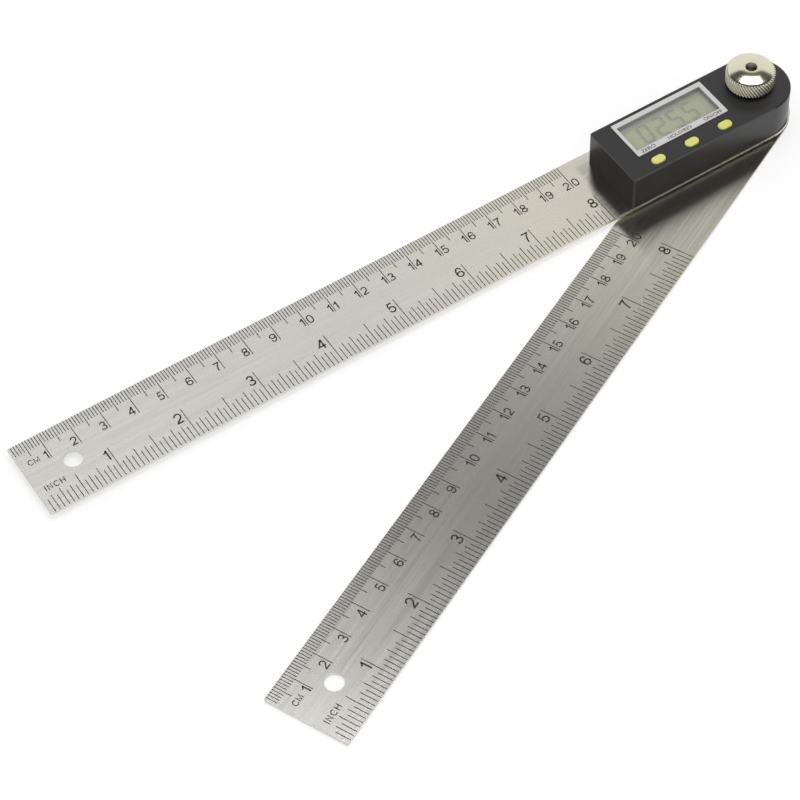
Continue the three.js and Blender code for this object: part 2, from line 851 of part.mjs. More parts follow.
function makeSwitch(name, x) {
  const caseTop = boardTop + switchHeight;
  const body = joined(
    block(
      x - switchLength / 2, x + switchLength / 2,
      buttonY - switchWidth / 2, buttonY + switchWidth / 2,
      boardTop, caseTop,
    ),
    rod(switchStemDiameter, caseTop - seatGap, caseTop + switchStemHeight, smallRoundSteps, x, buttonY),
  );
  return piece(`switch_${name}`, body, 'darkResin');
}

// A button: a soft-edged cap in its slot, a rim that holds it in and a plunger over its switch.
function makeButton(name, x) {
  const rimTop = ceiling - slideGap;
  const rimBottom = rimTop - buttonRimThickness;
  const plungerBottom = boardTop + switchHeight + switchStemHeight + buttonTravel + slideGap;
  const body = joined(
    softPrism(
      slot(x, buttonY, buttonLength, buttonWidth),
      rimBottom, housingTop + buttonProud, buttonEdge, buttonEdgeSteps,
    ),
    prism(slot(x, buttonY, buttonRimLength, buttonWidth), rimBottom, rimTop),
    rod(plungerDiameter, plungerBottom, rimTop, smallRoundSteps, x, buttonY),
  );
  return piece(`button_${name}`, body, 'yellowRubber');
}

// Coin cell, the drawer that carries it out of the rear side, and its spring contacts

const drawerWidth = cellDiameter + (cellSideGap + drawerRailThickness) * 2;
const drawerTop = boardBottom - drawerTopGap;

function makeCoinCell() {
  const radius = cellDiameter / 2;
  const cap = cellCapDiameter / 2;
  const low = drawerFloorTop;
  const rim = cellTop - cellCapRise;
  const body = turned([
    [0, low],
    [radius - cellEdge, low],
    [radius, low + cellEdge],
    [radius, rim - cellEdge],
    [radius - cellEdge, rim],
    [cap, rim],
    [cap - cellCapRise, cellTop],
    [0, cellTop],
  ], roundSteps, cellX, cellY);
  return piece('coin_cell', body, 'zincSteel');
}

function makeBatteryDrawer() {
  const left = cellX - drawerWidth / 2;
  const right = cellX + drawerWidth / 2;
  const end = cellY - (cellDiameter / 2) * drawerReachShare;
  const overlap = wallThickness / 2;
  const railTop = drawerFloorTop + drawerRailHeight;
  const grooveMiddle = (drawerFloorTop + drawerTop) / 2;
  const body = joined(
    block(left, right, innerRear, housingRear, upperRuleTop, drawerTop),
    block(left, right, end, innerRear + overlap, upperRuleTop, drawerFloorTop),
    block(left, left + drawerRailThickness, end, innerRear + overlap, upperRuleTop, railTop),
    block(right - drawerRailThickness, right, end, innerRear + overlap, upperRuleTop, railTop),
  );
  const pushHole = rod(
    drawerHoleDiameter, upperRuleTop - cutOverrun, drawerFloorTop + cutOverrun, roundSteps, cellX, cellY,
  );
  const nailGroove = block(
    cellX - nailGrooveLength / 2, cellX + nailGrooveLength / 2,
    housingRear - nailGrooveDepth, housingRear + cutOverrun,
    grooveMiddle, grooveMiddle + nailGrooveHeight,
  );
  return piece('battery_drawer', cut(body, pushHole, nailGroove), 'blackPlastic');
}

// A bent leaf: a band of even thickness along a line in the Y-Z plane, as wide as a contact.
function leaf(line) {
  const points = line.map(([y, z]) => new THREE.Vector2(y, z));
  const side = (sign) => points.map((point, index) => {
    const before = points[Math.max(index - 1, 0)];
    const after = points[Math.min(index + 1, points.length - 1)];
    const along = after.clone().sub(before).normalize();
    const across = new THREE.Vector2(-along.y, along.x);
    return point.clone().addScaledVector(across, (sign * contactThickness) / 2);
  });
  const shape = new THREE.Shape([...side(1), ...side(-1).reverse()]);
  const geometry = new THREE.ExtrudeGeometry(shape, { depth: contactWidth, bevelEnabled: false });
  geometry.rotateY(Math.PI / 2);
  geometry.rotateX(Math.PI / 2);
  geometry.translate(cellX - contactWidth / 2, 0, 0);
  return solid(geometry);
}

function makePositiveContact() {
  const cellFront = cellY - cellDiameter / 2;
  const rear = cellFront - contactGap;
  const front = rear - contactThickness;
  const left = cellX - contactWidth / 2;
  const right = cellX + contactWidth / 2;
  const middle = (drawerFloorTop + cellTop) / 2;
  const body = joined(
    block(left, right, front, rear, middle, boardBottom),
    block(left, right, front, rear + contactLane, boardBottom - contactThickness, boardBottom),
  );
  return piece('battery_contact_positive', body, 'brass');
}

function makeNegativeContact() {
  const half = contactThickness / 2;
  const high = boardBottom - half;
  const low = cellTop + contactGap + half;
  const reach = cellDiameter / 2;
  const along = (share) => cellY + reach * share;
  const body = leaf([
    [along(negativeLeafShares.root), high],
    [along(negativeLeafShares.bend), high],
    [along(negativeLeafShares.touch), low + half],
    [along(negativeLeafShares.lift), low + half],
    [along(negativeLeafShares.tip), low + contactThickness * 2],
  ]);
  return piece('battery_contact_negative', body, 'brass');
}

// The head: all that stays with the upper rule

function makeHead() {
  const head = new THREE.Group();
  head.add(
    makeUpperRule(),
    makeHousing(),
    makePivotBush(),
    makeDisplayBezel(),
    makeDisplayLens(),
    makeLcdPanel(),
    ...makeZebraStrips(),
    makeCircuitBoard(),
    ...makeBoardScrews(),
    makeDriverChip(),
    makePositiveContact(),
    makeNegativeContact(),
    makeCoinCell(),
    makeBatteryDrawer(),
  );
  buttonNames.forEach((name, index) => {
    head.add(makeSwitch(name, buttonPlacesX[index]), makeButton(name, buttonPlacesX[index]));
  });
  bossPlaces.forEach(([x, y], index) => {
    const body = countersunkScrew(upperRuleBottom, housingScrewLength, x, y);
    head.add(piece(`housing_screw_${index + 1}`, body, 'zincSteel'));
  });
  return head;
}

// The lower arm: all that turns with the lower rule, and the knob on its stud

function makeLowerArm() {
  const arm = new THREE.Group();
  arm.rotation.z = THREE.MathUtils.degToRad(restAngleDegrees);
  arm.add(
    makeLowerRule(),
    makeFrictionWasher(),
    makePivotHub(),
    makePivotStud(),
    makeEncoderRotor(),
    makeKnobWasher(),
    makeLockKnob(),
  );
  hubScrewPlaces.forEach(([x, y], index) => {
    arm.add(piece(`hub_screw_${index + 1}`, countersunkScrew(0, hubScrewLength, x, y), 'zincSteel'));
  });
  return arm;
}

const angleFinder = new THREE.Group();
angleFinder.add(makeHead(), makeLowerArm());

export default angleFinder;
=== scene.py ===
"""Looks of a digital angle finder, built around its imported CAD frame.

+Z is up and the frame is the CAD model's. Pieces are modelled in millimetres and become metres
when they are handed over. Pieces of the lower arm are built along -X, like the upper rule, and
then turned.
"""

import json
import logging
import math
from contextlib import contextmanager
from dataclasses import dataclass
from enum import Enum
from typing import Callable, Iterator, Sequence

import bmesh
import bpy
from mathutils import Matrix, Vector

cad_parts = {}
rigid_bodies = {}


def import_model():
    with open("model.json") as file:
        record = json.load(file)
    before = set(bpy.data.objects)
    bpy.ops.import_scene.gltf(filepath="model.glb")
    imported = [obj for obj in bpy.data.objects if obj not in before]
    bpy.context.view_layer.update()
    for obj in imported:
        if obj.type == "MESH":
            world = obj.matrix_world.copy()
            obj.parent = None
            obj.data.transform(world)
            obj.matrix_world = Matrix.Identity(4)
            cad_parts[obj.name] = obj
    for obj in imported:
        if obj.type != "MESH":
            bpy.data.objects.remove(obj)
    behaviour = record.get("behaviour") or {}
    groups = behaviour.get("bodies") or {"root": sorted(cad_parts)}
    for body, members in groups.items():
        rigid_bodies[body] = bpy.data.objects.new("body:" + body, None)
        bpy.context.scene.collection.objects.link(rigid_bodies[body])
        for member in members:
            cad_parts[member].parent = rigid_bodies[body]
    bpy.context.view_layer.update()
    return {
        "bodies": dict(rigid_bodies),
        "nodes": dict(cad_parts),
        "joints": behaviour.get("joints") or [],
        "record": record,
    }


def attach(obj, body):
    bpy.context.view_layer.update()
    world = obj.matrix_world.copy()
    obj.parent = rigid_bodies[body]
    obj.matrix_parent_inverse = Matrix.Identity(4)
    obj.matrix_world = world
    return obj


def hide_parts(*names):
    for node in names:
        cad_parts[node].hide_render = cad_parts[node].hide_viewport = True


MM = 0.001
REST_TURN = math.radians(25.5)
HOLLOW = "hollow"

# Lengths in millimetres: what counts as equal, what merges at a seam, and how far a cutter runs over
TOLERANCE = 0.002
FINE = 0.0001
OVERRUN = 1

# Angles: faces in one plane, and the sharpness that stays crisp on moulded pieces, in degrees
SAME_PLANE = math.radians(0.5)
MOULDED = 40

# The least share of a flat face's normal along its axis, and the sides of a screw's circle
FLAT = 0.99
SCREW_STEPS = 48

Point = tuple[float, float]
Triple = tuple[float, float, float]
Colour = Triple
Bounds = tuple[float, float, float, float]
FaceTest = Callable[[bpy.types.MeshPolygon], bool]

log = logging.getLogger("angle_finder")


class Body(str, Enum):
    """The CAD bodies that pieces ride on."""

    HEAD = "head"
    LOWER_ARM = "lower_arm"
    KNOB_SEAT = "knob_seat"
    KNOB = "knob"
    ZERO_BUTTON = "zero_button"
    HOLD_BUTTON = "hold_button"
    POWER_BUTTON = "power_button"
    DRAWER = "drawer"


class Slot(str, Enum):
    """The names of the record's material slots."""

    RULE_STEEL = "rule_steel"
    KNOB_NICKEL = "knob_nickel"
    PLAIN_STEEL = "plain_steel"
    CELL_STEEL = "cell_steel"
    BLACK_SHELL = "black_shell"
    BLACK_NYLON = "black_nylon"
    GREY_FRAME = "grey_frame"
    CLEAR_WINDOW = "clear_window"
    DISPLAY_GLASS = "display_glass"
    BUTTON_RUBBER = "button_rubber"


class Part(str, Enum):
    """What a selection is made of."""

    EDGE = "EDGE"
    FACE = "FACE"


class Operation(str, Enum):
    """What a piece does with another solid."""

    JOIN = "UNION"
    CUT = "DIFFERENCE"


# Selecting and editing


def make_active(piece: bpy.types.Object) -> None:
    """Selects one object alone and makes it the active one."""
    bpy.ops.object.select_all(action="DESELECT")
    piece.select_set(True)
    bpy.context.view_layer.objects.active = piece


@contextmanager
def editing(piece: bpy.types.Object) -> Iterator[None]:
    """Opens a piece in edit mode with nothing selected, and closes it again."""
    make_active(piece)
    bpy.ops.object.mode_set(mode="EDIT")
    bpy.ops.mesh.select_all(action="DESELECT")
    yield
    bpy.ops.object.mode_set(mode="OBJECT")


def select(piece: bpy.types.Object, part: Part, wanted: Callable[..., bool]) -> None:
    """Selects the edges or faces of a piece in edit mode that a test picks, and no others.

    Args:
        piece: the object in edit mode.
        part: whether edges or faces are selected.
        wanted: says of an edge or a face whether it is selected.
    """
    bpy.ops.mesh.select_all(action="DESELECT")
    bpy.ops.mesh.select_mode(type=part.value)
    mesh = bmesh.from_edit_mesh(piece.data)
    for item in mesh.edges if part is Part.EDGE else mesh.faces:
        item.select_set(wanted(item))
    bmesh.update_edit_mesh(piece.data)


def near(value: float, target: float) -> bool:
    """True if two lengths agree within the play of single precision."""
    return abs(value - target) < TOLERANCE


def settle_place(piece: bpy.types.Object) -> bpy.types.Object:
    """Puts an object's place, turn and scale into its mesh, and returns the object."""
    make_active(piece)
    bpy.ops.object.transform_apply(location=True, rotation=True, scale=True)
    return piece


def apply_modifier(piece: bpy.types.Object, kind: str, **settings: object) -> None:
    """Adds a modifier to a piece and applies it.

    Args:
        piece: the object.
        kind: the modifier's type.
        settings: its properties.
    """
    make_active(piece)
    modifier = piece.modifiers.new(kind.title(), kind)
    for name, value in settings.items():
        setattr(modifier, name, value)
    bpy.ops.object.modifier_apply(modifier=modifier.name)


def combine(piece: bpy.types.Object, other: bpy.types.Object, operation: Operation) -> None:
    """Joins a piece with another solid or cuts that out of it; the other solid is used up."""
    apply_modifier(piece, "BOOLEAN", object=other, operation=operation.value, solver="EXACT")
    bpy.data.objects.remove(other)


def clean_cuts(piece: bpy.types.Object) -> None:
    """Merges doubled points and dissolves the needless edges that joins and cuts leave."""
    with editing(piece):
        bpy.ops.mesh.select_all(action="SELECT")
        bpy.ops.mesh.remove_doubles(threshold=TOLERANCE)
        bpy.ops.mesh.select_all(action="SELECT")
        bpy.ops.mesh.dissolve_limited(angle_limit=SAME_PLANE)
        bpy.ops.mesh.select_all(action="SELECT")
        bpy.ops.mesh.dissolve_degenerate(threshold=TOLERANCE / 2)


def soften_edges(piece: bpy.types.Object, width: float, segments: int = 2, angle: float = 35) -> None:
    """Rounds the edges of a piece that are sharper than an angle in degrees."""
    apply_modifier(
        piece,
        "BEVEL",
        width=width,
        segments=segments,
        limit_method="ANGLE",
        angle_limit=math.radians(angle),
        use_clamp_overlap=True,
    )


def shade(piece: bpy.types.Object, angle: float = 30, weighted: bool = False) -> None:
    """Shades a piece smooth, with edges sharper than an angle left crisp.

    Args:
        piece: the object.
        angle: the limit, in degrees.
        weighted: True to let large flat faces keep flat shading.
    """
    make_active(piece)
    bpy.ops.object.shade_smooth_by_angle(angle=math.radians(angle))
    if weighted:
        apply_modifier(piece, "WEIGHTED_NORMAL", keep_sharp=True)


def join(pieces: Sequence[bpy.types.Object]) -> bpy.types.Object:
    """Makes one object of several.

    Args:
        pieces: the objects; the first one stays.

    Returns:
        The first object, with all the meshes.
    """
    bpy.ops.object.select_all(action="DESELECT")
    for piece in pieces:
        piece.select_set(True)
    bpy.context.view_layer.objects.active = pieces[0]
    if len(pieces) > 1:
        bpy.ops.object.join()
    return pieces[0]


def copy_of(piece: bpy.types.Object, place: Matrix) -> bpy.types.Object:
    """A copy of a piece with its own mesh, moved.

    Args:
        piece: the object to copy.
        place: how the copy's mesh is moved.

    Returns:
        The copy.
    """
    twin = piece.copy()
    twin.data = piece.data.copy()
    twin.data.transform(place)
    bpy.context.scene.collection.objects.link(twin)
    return twin


def shift(x: float = 0, y: float = 0, z: float = 0) -> Matrix:
    """A move along the three axes."""
    return Matrix.Translation(Vector((x, y, z)))


# Basic forms, all in millimetres


def box(left: float, right: float, front: float, rear: float, low: float, high: float) -> bpy.types.Object:
    """A block between three pairs of faces.

    Args:
        left: X of its left face.
        right: X of its right face.
        front: Y of its front face.
        rear: Y of its rear face.
        low: Z of its underside.
        high: Z of its top.

    Returns:
        The block.
    """
    centre = ((left + right) / 2, (front + rear) / 2, (low + high) / 2)
    bpy.ops.mesh.primitive_cube_add(size=1, location=centre)
    block = bpy.context.object
    block.scale = (right - left, rear - front, high - low)
    return settle_place(block)


def rod(
    radius: float, low: float, high: float, x: float = 0, y: float = 0, steps: int = 64
) -> bpy.types.Object:
    """An upright cylinder between two heights, about an axis at x and y, with a number of sides."""
    bpy.ops.mesh.primitive_cylinder_add(
        vertices=steps, radius=radius, depth=high - low, location=(x, y, (low + high) / 2)
    )
    return settle_place(bpy.context.object)


def upright(edge: bmesh.types.BMEdge) -> bool:
    """True for an edge that runs along Z."""
    start, end = (vertex.co for vertex in edge.verts)
    return (start.xy - end.xy).length < FINE


def round_edges(
    block: bpy.types.Object, wanted: Callable[..., bool], radius: float, segments: int
) -> None:
    """Rounds the edges of a block that a test picks."""
    with editing(block):
        select(block, Part.EDGE, wanted)
        bpy.ops.mesh.bevel(offset=radius, segments=segments, affect="EDGES")


def capsule(
    x: float, y: float, length: float, width: float, low: float, high: float, segments: int = 10
) -> bpy.types.Object:
    """A block along X with half-round ends, about a middle at x and y."""
    block = box(x - length / 2, x + length / 2, y - width / 2, y + width / 2, low, high)
    almost_half = width / 2 - TOLERANCE
    round_edges(block, upright, almost_half, segments)
    return block


def grown(area: Bounds, reach: float) -> Bounds:
    """A rectangle grown by a length on all four sides."""
    left, right, front, rear = area
    return left - reach, right + reach, front - reach, rear + reach


def round_ended_block(
    left: float, centre_y: float, width: float, low: float, high: float, steps: int = 192
) -> bpy.types.Object:
    """A block whose right end is half-round about X = 0.

    Args:
        left: X of its square left end.
        centre_y: Y of its middle line.
        width: its width.
        low: Z of its underside.
        high: Z of its top.
        steps: the sides of a full circle.

    Returns:
        The block.
    """
    block = rod(width / 2, low, high, 0, centre_y, steps)
    with editing(block):
        bpy.ops.mesh.select_all(action="SELECT")
        bpy.ops.mesh.bisect(plane_co=(0, 0, 0), plane_no=(1, 0, 0), use_fill=True, clear_inner=True)
        select(block, Part.FACE, lambda face: face.normal.x < -FLAT and near(face.calc_center_median().x, 0))
        bpy.ops.mesh.extrude_region_move(TRANSFORM_OT_translate={"value": (left, 0, 0)})
        bpy.ops.mesh.select_all(action="SELECT")
        bpy.ops.mesh.dissolve_limited(angle_limit=SAME_PLANE)
    return block


def round_left_corners(block: bpy.types.Object, left: float, radius: float, segments: int = 6) -> None:
    """Rounds the two upright edges at a block's left end."""
    round_edges(
        block, lambda edge: upright(edge) and near(edge.verts[0].co.x, left), radius, segments
    )


def round_top(block: bpy.types.Object, top: float, radius: float, segments: int) -> None:
    """Rounds the edges round a block's top, which lies at a height."""
    round_edges(
        block, lambda edge: all(near(vertex.co.z, top) for vertex in edge.verts), radius, segments
    )


def turned(profile: Sequence[Point], steps: int, closed: bool = False) -> bpy.types.Object:
    """A profile spun about the Z axis.

    Args:
        profile: points of radius and height.
        steps: the steps of a full turn.
        closed: True to join the last point to the first, for a ring.

    Returns:
        The turned form.
    """
    count = len(profile)
    edges = [(at, at + 1) for at in range(count - 1)]
    if closed:
        edges.append((count - 1, 0))
    mesh = bpy.data.meshes.new("turned")
    mesh.from_pydata([(radius, 0, height) for radius, height in profile], edges, [])
    piece = bpy.data.objects.new("turned", mesh)
    bpy.context.scene.collection.objects.link(piece)
    with editing(piece):
        bpy.ops.mesh.select_all(action="SELECT")
        bpy.ops.mesh.spin(steps=steps, angle=2 * math.pi, center=(0, 0, 0), axis=(0, 0, 1))
        bpy.ops.mesh.select_all(action="SELECT")
        bpy.ops.mesh.remove_doubles(threshold=FINE)
        bpy.ops.mesh.select_all(action="SELECT")
        bpy.ops.mesh.normals_make_consistent(inside=False)
    return piece


# Materials


class Nodes:
    """A node tree, with short calls for the nodes that the finishes and the studio share."""

    def __init__(self, tree: bpy.types.NodeTree) -> None:
        """Takes the tree that the nodes are added to."""
        self.tree = tree

    def node(self, kind: str, **settings: object) -> bpy.types.Node:
        """Adds a node.

        Args:
            kind: the node's type name.
            settings: its properties.

        Returns:
            The node.
        """
        made = self.tree.nodes.new(kind)
        for name, value in settings.items():
            setattr(made, name, value)
        return made

    def link(self, source: bpy.types.NodeSocket, into: bpy.types.NodeSocket) -> None:
        """Links an output to an input."""
        self.tree.links.new(source, into)

    def place(self, stretch: Triple = (1, 1, 1), turn: float = 0) -> bpy.types.NodeSocket:
        """Object coordinates, turned about Z and then scaled.

        Args:
            stretch: the scale along each turned axis.
            turn: the turn of the piece, in radians.

        Returns:
            The vector's socket.
        """
        vector = self.node("ShaderNodeTexCoord").outputs["Object"]
        if turn:
            turning = self.node("ShaderNodeMapping")
            turning.inputs["Rotation"].default_value = (0, 0, -turn)
            self.link(vector, turning.inputs["Vector"])
            vector = turning.outputs["Vector"]
        scaling = self.node("ShaderNodeMapping")
        scaling.inputs["Scale"].default_value = stretch
        self.link(vector, scaling.inputs["Vector"])
        return scaling.outputs["Vector"]

    def noise(
        self, vector: bpy.types.NodeSocket, scale: float = 1, detail: float = 2, roughness: float = 0.5
    ) -> bpy.types.NodeSocket:
        """Noise from 0 to 1.

        Args:
            vector: where it is read.
            scale: how fine it is.
            detail: its octaves.
            roughness: how strong the fine ones are.

        Returns:
            The value's socket.
        """
        made = self.node("ShaderNodeTexNoise")
        made.inputs["Scale"].default_value = scale
        made.inputs["Detail"].default_value = detail
        made.inputs["Roughness"].default_value = roughness
        self.link(vector, made.inputs["Vector"])
        return made.outputs["Fac"]

    def span(
        self, value: bpy.types.NodeSocket, low: float, high: float, start: float = 0.3, end: float = 0.7
    ) -> bpy.types.NodeSocket:
        """Maps a value's span onto another, and clamps it.

        Args:
            value: what is mapped.
            low: what start becomes.
            high: what end becomes.
            start: the lower end of the value's span.
            end: the upper end of the value's span.

        Returns:
            The mapped value's socket.
        """
        made = self.node("ShaderNodeMapRange")
        for name, number in (("From Min", start), ("From Max", end), ("To Min", low), ("To Max", high)):
            made.inputs[name].default_value = number
        self.link(value, made.inputs["Value"])
        return made.outputs["Result"]

    def around(self, value: bpy.types.NodeSocket, middle: float, spread: float) -> bpy.types.NodeSocket:
        """Maps a value onto a spread about a middle."""
        return self.span(value, middle - spread / 2, middle + spread / 2)

    def add(self, *values: bpy.types.NodeSocket) -> bpy.types.NodeSocket:
        """The sum of several values."""
        total = values[0]
        for value in values[1:]:
            made = self.node("ShaderNodeMath", operation="ADD")
            self.link(total, made.inputs[0])
            self.link(value, made.inputs[1])
            total = made.outputs[0]
        return total

    def blend(
        self, share: bpy.types.NodeSocket, under: Colour | bpy.types.NodeSocket, over: Colour
    ) -> bpy.types.NodeSocket:
        """A colour between two, by a share from 0 to 1.

        Args:
            share: how much of the second colour shows.
            under: the first colour, or the socket that gives it.
            over: the second colour.

        Returns:
            The colour's socket.
        """
        made = self.node("ShaderNodeMix", data_type="RGBA")
        sockets = {socket.identifier: socket for socket in (*made.inputs, *made.outputs)}
        if isinstance(under, bpy.types.NodeSocket):
            self.link(under, sockets["A_Color"])
        else:
            sockets["A_Color"].default_value = (*under, 1)
        sockets["B_Color"].default_value = (*over, 1)
        self.link(share, made.inputs["Factor"])
        return sockets["Result_Color"]

    def seen(self) -> bpy.types.NodeSocket:
        """At least 1 for the camera's rays and for those in gloss and through glass, or else 0."""
        path = self.node("ShaderNodeLightPath").outputs
        return self.add(path["Is Camera Ray"], path["Is Glossy Ray"], path["Is Transmission Ray"])

    def bump(self, height: bpy.types.NodeSocket, depth: float, strength: float = 1) -> bpy.types.NodeSocket:
        """A bumped normal.

        Args:
            height: the height from 0 to 1.
            depth: what a height of 1 stands for, in millimetres.
            strength: how much of it counts.

        Returns:
            The normal's socket.
        """
        made = self.node("ShaderNodeBump")
        made.inputs["Distance"].default_value = depth * MM
        made.inputs["Strength"].default_value = strength
        self.link(height, made.inputs["Height"])
        return made.outputs["Normal"]


class Graph(Nodes):
    """A material with its node tree."""

    def __init__(self, name: str) -> None:
        """Makes the material with its name."""
        self.material = bpy.data.materials.new(name)
        self.material.use_nodes = True
        super().__init__(self.material.node_tree)
        self.shader = self.tree.nodes["Principled BSDF"]

    def set(self, values: dict[str, object]) -> None:
        """Sets the shader's own sockets.

        Args:
            values: a value for each socket's name; a node's output is linked instead.
        """
        for name, value in values.items():
            if isinstance(value, bpy.types.NodeSocket):
                self.link(value, self.shader.inputs[name])
            else:
                self.shader.inputs[name].default_value = value


@dataclass(frozen=True)
class Finish:
    """A finish of the object, made into one material when it is first used.

    Attributes:
        name: the material's name.
    """

    name: str

    def material(self) -> bpy.types.Material:
        """The material of this finish, made once."""
        full_name = self.name + "_finish"
        known = bpy.data.materials.get(full_name)
        if known:
            return known
        graph = Graph(full_name)
        self.paint(graph)
        return graph.material

    def paint(self, graph: Graph) -> None:
        """Sets up the material's nodes.

        Args:
            graph: the material's node tree.
        """
        raise NotImplementedError


@dataclass(frozen=True)
class BrushedSteel(Finish):
    """Steel sheet brushed along its length, with fine streaks across its width.

    Attributes:
        turn: the direction of the brushing about Z, in radians.
        dark, light: the darkest and the lightest streaks.
        smoothest, roughest: the least and the most roughness.
        warm: a painted warm reflection of the head, tinting the steel near it.
        warm_share: how much of that painted reflection shows at most.
            warm_from, warm_to: X where that painted reflection begins and where it is full,
            in millimetres.
        hairs, streaks, sweeps: how fine they are along, across and into the sheet, per metre.
        hair_share: the hairlines' share in the roughness.
        sweep_share: the sweeps' share in the colour.
        wave_depth: the depth of the sweeps, in millimetres.
        wave_strength: how much of that depth counts.
    """

    turn: float = 0
    dark: Colour = (0.620, 0.612, 0.568)
    light: Colour = (0.760, 0.750, 0.700)
    smoothest: float = 0.195
    roughest: float = 0.255
    warm: Colour = (0.800, 0.745, 0.600)
    warm_share: float = 0.5
    warm_from: float = -150
    warm_to: float = -80
    hairs: Triple = (40, 5000, 3000)
    streaks: Triple = (16, 900, 900)
    sweeps: Triple = (6, 160, 160)
    hair_share: float = 0.4
    sweep_share: float = 0.22
    wave_depth: float = 0.01
    wave_strength: float = 0.15

    def paint(self, graph: Graph) -> None:
        """Long streaks in colour, roughness and bump, a painted warm reflection near the head,
        and a lobe spread across the brushing.
        """
        hair = graph.noise(graph.place(self.hairs, self.turn), detail=2, roughness=0.6)
        streak = graph.noise(graph.place(self.streaks, self.turn), detail=3, roughness=0.6)
        sweep = graph.noise(graph.place(self.sweeps, self.turn), detail=2)
        tone = graph.add(
            graph.span(streak, 0, 1 - self.sweep_share), graph.span(sweep, 0, self.sweep_share)
        )
        polish = graph.add(
            graph.span(hair, 0, self.hair_share), graph.span(streak, 0, 1 - self.hair_share)
        )
        parts = graph.node("ShaderNodeSeparateXYZ")
        graph.link(graph.place(turn=self.turn), parts.inputs["Vector"])
        # Painted reflection: the steel turns warmer towards the head, where the head's reflection falls.
        head = graph.span(
            parts.outputs["X"], 0, self.warm_share, self.warm_from * MM, self.warm_to * MM
        )
        sideways = graph.node("ShaderNodeCombineXYZ")
        sideways.inputs["X"].default_value = -math.sin(self.turn)
        sideways.inputs["Y"].default_value = math.cos(self.turn)
        along = graph.node(
            "ShaderNodeVectorTransform", vector_type="VECTOR", convert_from="OBJECT", convert_to="WORLD"
        )
        graph.link(sideways.outputs["Vector"], along.inputs["Vector"])
        graph.set(
            {
                "Base Color": graph.blend(head, graph.blend(tone, self.dark, self.light), self.warm),
                "Metallic": 1.0,
                "Roughness": graph.span(polish, self.roughest, self.smoothest, start=0.2, end=0.8),
                "Anisotropic": 1.0,
                "Tangent": along.outputs["Vector"],
                "Normal": graph.bump(sweep, self.wave_depth, self.wave_strength),
            }
        )


@dataclass(frozen=True)
class PlatedMetal(Finish):
    """Smooth or satin metal with faint marks from turning and handling.

    Attributes:
        colour: the metal's colour.
        shadow: its colour in the fine marks.
        roughness: how rough it is.
        spread: how much the roughness varies.
        grain: how fine the marks are, per metre.
        depth: the depth of the marks, in millimetres.
    """

    colour: Colour = (0.6, 0.6, 0.6)
    shadow: Colour = (0.5, 0.5, 0.5)
    roughness: float = 0.2
    spread: float = 0.08
    grain: float = 900
    depth: float = 0.002

    def paint(self, graph: Graph) -> None:
        """Broad clouds in colour and roughness, and fine marks in the bump."""
        clouds = graph.noise(graph.place(), scale=self.grain / 4, detail=3)
        marks = graph.noise(graph.place((1, 1, 3)), scale=self.grain * 4, detail=4, roughness=0.65)
        graph.set(
            {
                "Base Color": graph.blend(graph.span(clouds, 0, 1), self.shadow, self.colour),
                "Metallic": 1.0,
                "Roughness": graph.around(clouds, self.roughness, self.spread),
                "Normal": graph.bump(marks, self.depth, 0.5),
            }
        )


@dataclass(frozen=True)
class KnurledMetal(Finish):
    """Plated metal with cut grooves that are darkened with painted shade.

    Attributes:
        colour: the metal's colour on the teeth.
        dirt: its colour deep in the grooves, a painted shade.
        roughness: how rough the teeth are.
        grain: how fine the marks are, per metre.
        groove_roughness: how much rougher the grooves are.
    """

    colour: Colour = (0.6, 0.6, 0.6)
    dirt: Colour = (0.1, 0.1, 0.1)
    roughness: float = 0.4
    grain: float = 900
    groove_roughness: float = 0.2

    def paint(self, graph: Graph) -> None:
        """Painted shade in the grooves by the piece's own depth attribute, and worn teeth."""
        depth = graph.node("ShaderNodeAttribute", attribute_name=HOLLOW).outputs["Fac"]
        wear = graph.noise(graph.place(), scale=self.grain, detail=3, roughness=0.6)
        share = graph.add(graph.span(depth, 0, 1, start=0.15, end=0.85), graph.span(wear, -0.08, 0.08))
        rough = graph.span(
            depth, self.roughness, self.roughness + self.groove_roughness, start=0.2, end=1.0
        )
        graph.set(
            {
                "Base Color": graph.blend(share, self.colour, self.dirt),
                "Metallic": 1.0,
                "Roughness": graph.add(rough, graph.span(wear, -0.05, 0.05)),
                "Normal": graph.bump(wear, 0.01, 0.5),
            }
        )


@dataclass(frozen=True)
class MouldedPlastic(Finish):
    """Moulded plastic or rubber with a fine grain.

    Attributes:
        colour: its colour.
        shade: the darker colour in its grain.
        roughness: how rough it is.
        spread: how much the roughness varies.
        grain: how fine the grain is, per metre.
        depth: the depth of the grain, in millimetres.
        glow: how much light goes in under the surface.
        glow_reach: how far the red, green and blue of it go, in metres.
    """

    colour: Colour = (0.03, 0.03, 0.03)
    shade: Colour = (0.02, 0.02, 0.02)
    roughness: float = 0.45
    spread: float = 0.10
    grain: float = 3500
    depth: float = 0.006
    glow: float = 0
    glow_reach: Triple = (0.002, 0.0015, 0.0006)

    def paint(self, graph: Graph) -> None:
        """A pebbled grain in the bump, with slow clouds in colour and roughness."""
        pebbles = graph.noise(graph.place(), scale=self.grain, detail=2, roughness=0.55)
        clouds = graph.noise(graph.place(), scale=self.grain / 40, detail=3)
        graph.set(
            {
                "Base Color": graph.blend(graph.span(clouds, 0, 1), self.shade, self.colour),
                "Roughness": graph.around(clouds, self.roughness, self.spread),
                "Normal": graph.bump(pebbles, self.depth, 0.6),
                "Subsurface Weight": self.glow,
                "Subsurface Radius": self.glow_reach,
                "Subsurface Scale": 1.0,
            }
        )


